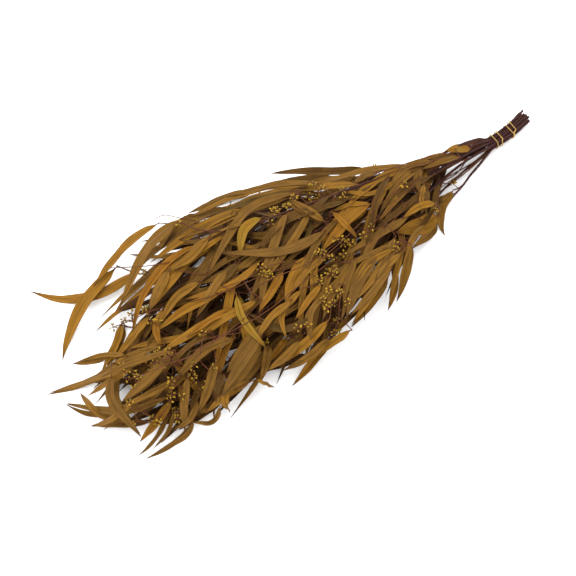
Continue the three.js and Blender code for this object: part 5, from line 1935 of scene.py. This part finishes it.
natural_rubber = band_material()
turns = []
for order, (x, slant, phase_deg) in enumerate(BAND_TURNS):
    turn_path = []
    for k in range(TURN_POINTS):
        angle = 2 * math.pi * k / TURN_POINTS
        lean = slant * math.cos(angle - math.radians(phase_deg))
        point = bundle_outline(x + lean, angle, rise=OVER_RISE * (order % 2))
        turn_path.append((in_frame(*point), {"thick": STRAND_RADIUS}))
    turns.append(turn_path)
strand = []
for k in range(STRAND_POINTS):
    x = mix(BAND_TURNS[0][0], BAND_TURNS[2][0], k / (STRAND_POINTS - 1))
    point = bundle_outline(x, math.radians(STRAND_AT_DEG))
    strand.append((in_frame(*point), {"thick": STRAND_RADIUS}))
band_values = {
    "Step": STRAND_STEP, "Sides": STRAND_SIDES, "Swelling": STRAND_SWELLING, "Bark": natural_rubber,
}
turns_mesh = path_mesh("band_turns", turns, closed=True)
strand_mesh = path_mesh("band_strand", [strand])
band_turns = grow("rubber_band_turns", turns_mesh, bark_growth, band_values)
band_strand = grow("rubber_band_strand", strand_mesh, bark_growth, band_values)
for piece in (band_turns, band_strand):
    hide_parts("rubber_band")
    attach(piece, "root")


# Floor, light and camera: a pale table, a broad soft light from the upper left, and the view
# down along the bunch from its right side.
FLOOR_SIZE = 6.0
FLOOR_WHITE = (0.9, 0.9, 0.9, 1)
FLOOR_ROUGHNESS = 0.9
FLOOR_GLOW = 0.08
SKY_STRENGTH = 1.98
KEY_STRENGTH = 33.0
KEY_PLACE = (-1.05, 0.65, 1.9)
KEY_SIZE = 2.2
VIEW_NEAREST = 0.01

floor_mesh = bpy.data.meshes.new("table_top")
half_floor = FLOOR_SIZE / 2
floor_corners = [(x * half_floor, y * half_floor, 0) for x, y in ((-1, -1), (1, -1), (1, 1), (-1, 1))]
floor_mesh.from_pydata(floor_corners, [], [(0, 1, 2, 3)])
floor = bpy.data.objects.new("table_top", floor_mesh)
bpy.context.collection.objects.link(floor)
floor_material, _, floor_shader = new_material("pale_table")
floor_shader.inputs["Base Color"].default_value = FLOOR_WHITE
floor_shader.inputs["Roughness"].default_value = FLOOR_ROUGHNESS
floor_shader.inputs["Emission Color"].default_value = (1.0, 1.0, 1.0, 1)
floor_shader.inputs["Emission Strength"].default_value = FLOOR_GLOW
floor_mesh.materials.append(floor_material)

world = bpy.data.worlds.new("studio")
world.use_nodes = True
world.node_tree.nodes["Background"].inputs["Color"].default_value = (1.0, 1.0, 1.0, 1)
world.node_tree.nodes["Background"].inputs["Strength"].default_value = SKY_STRENGTH
bpy.context.scene.world = world
bpy.context.scene.view_settings.view_transform = "Standard"

key_light = bpy.data.lights.new("key", "AREA")
key_light.energy = KEY_STRENGTH
key_light.size = KEY_SIZE
key = bpy.data.objects.new("key", key_light)
key.location = KEY_PLACE
key.rotation_euler = (-Vector(KEY_PLACE)).to_track_quat("-Z", "Y").to_euler()
bpy.context.collection.objects.link(key)

camera_data = bpy.data.cameras.new("view")
camera_data.lens = VIEW_LENS
camera_data.sensor_width = VIEW_SENSOR
camera_data.clip_start = VIEW_NEAREST
camera = bpy.data.objects.new("view", camera_data)
camera.location = Vector(in_frame(*VIEW_TARGET)) + view_back * VIEW_DISTANCE * MM
camera.rotation_euler = (-view_back).to_track_quat("-Z", "Y").to_euler()
bpy.context.collection.objects.link(camera)
bpy.context.scene.camera = camera
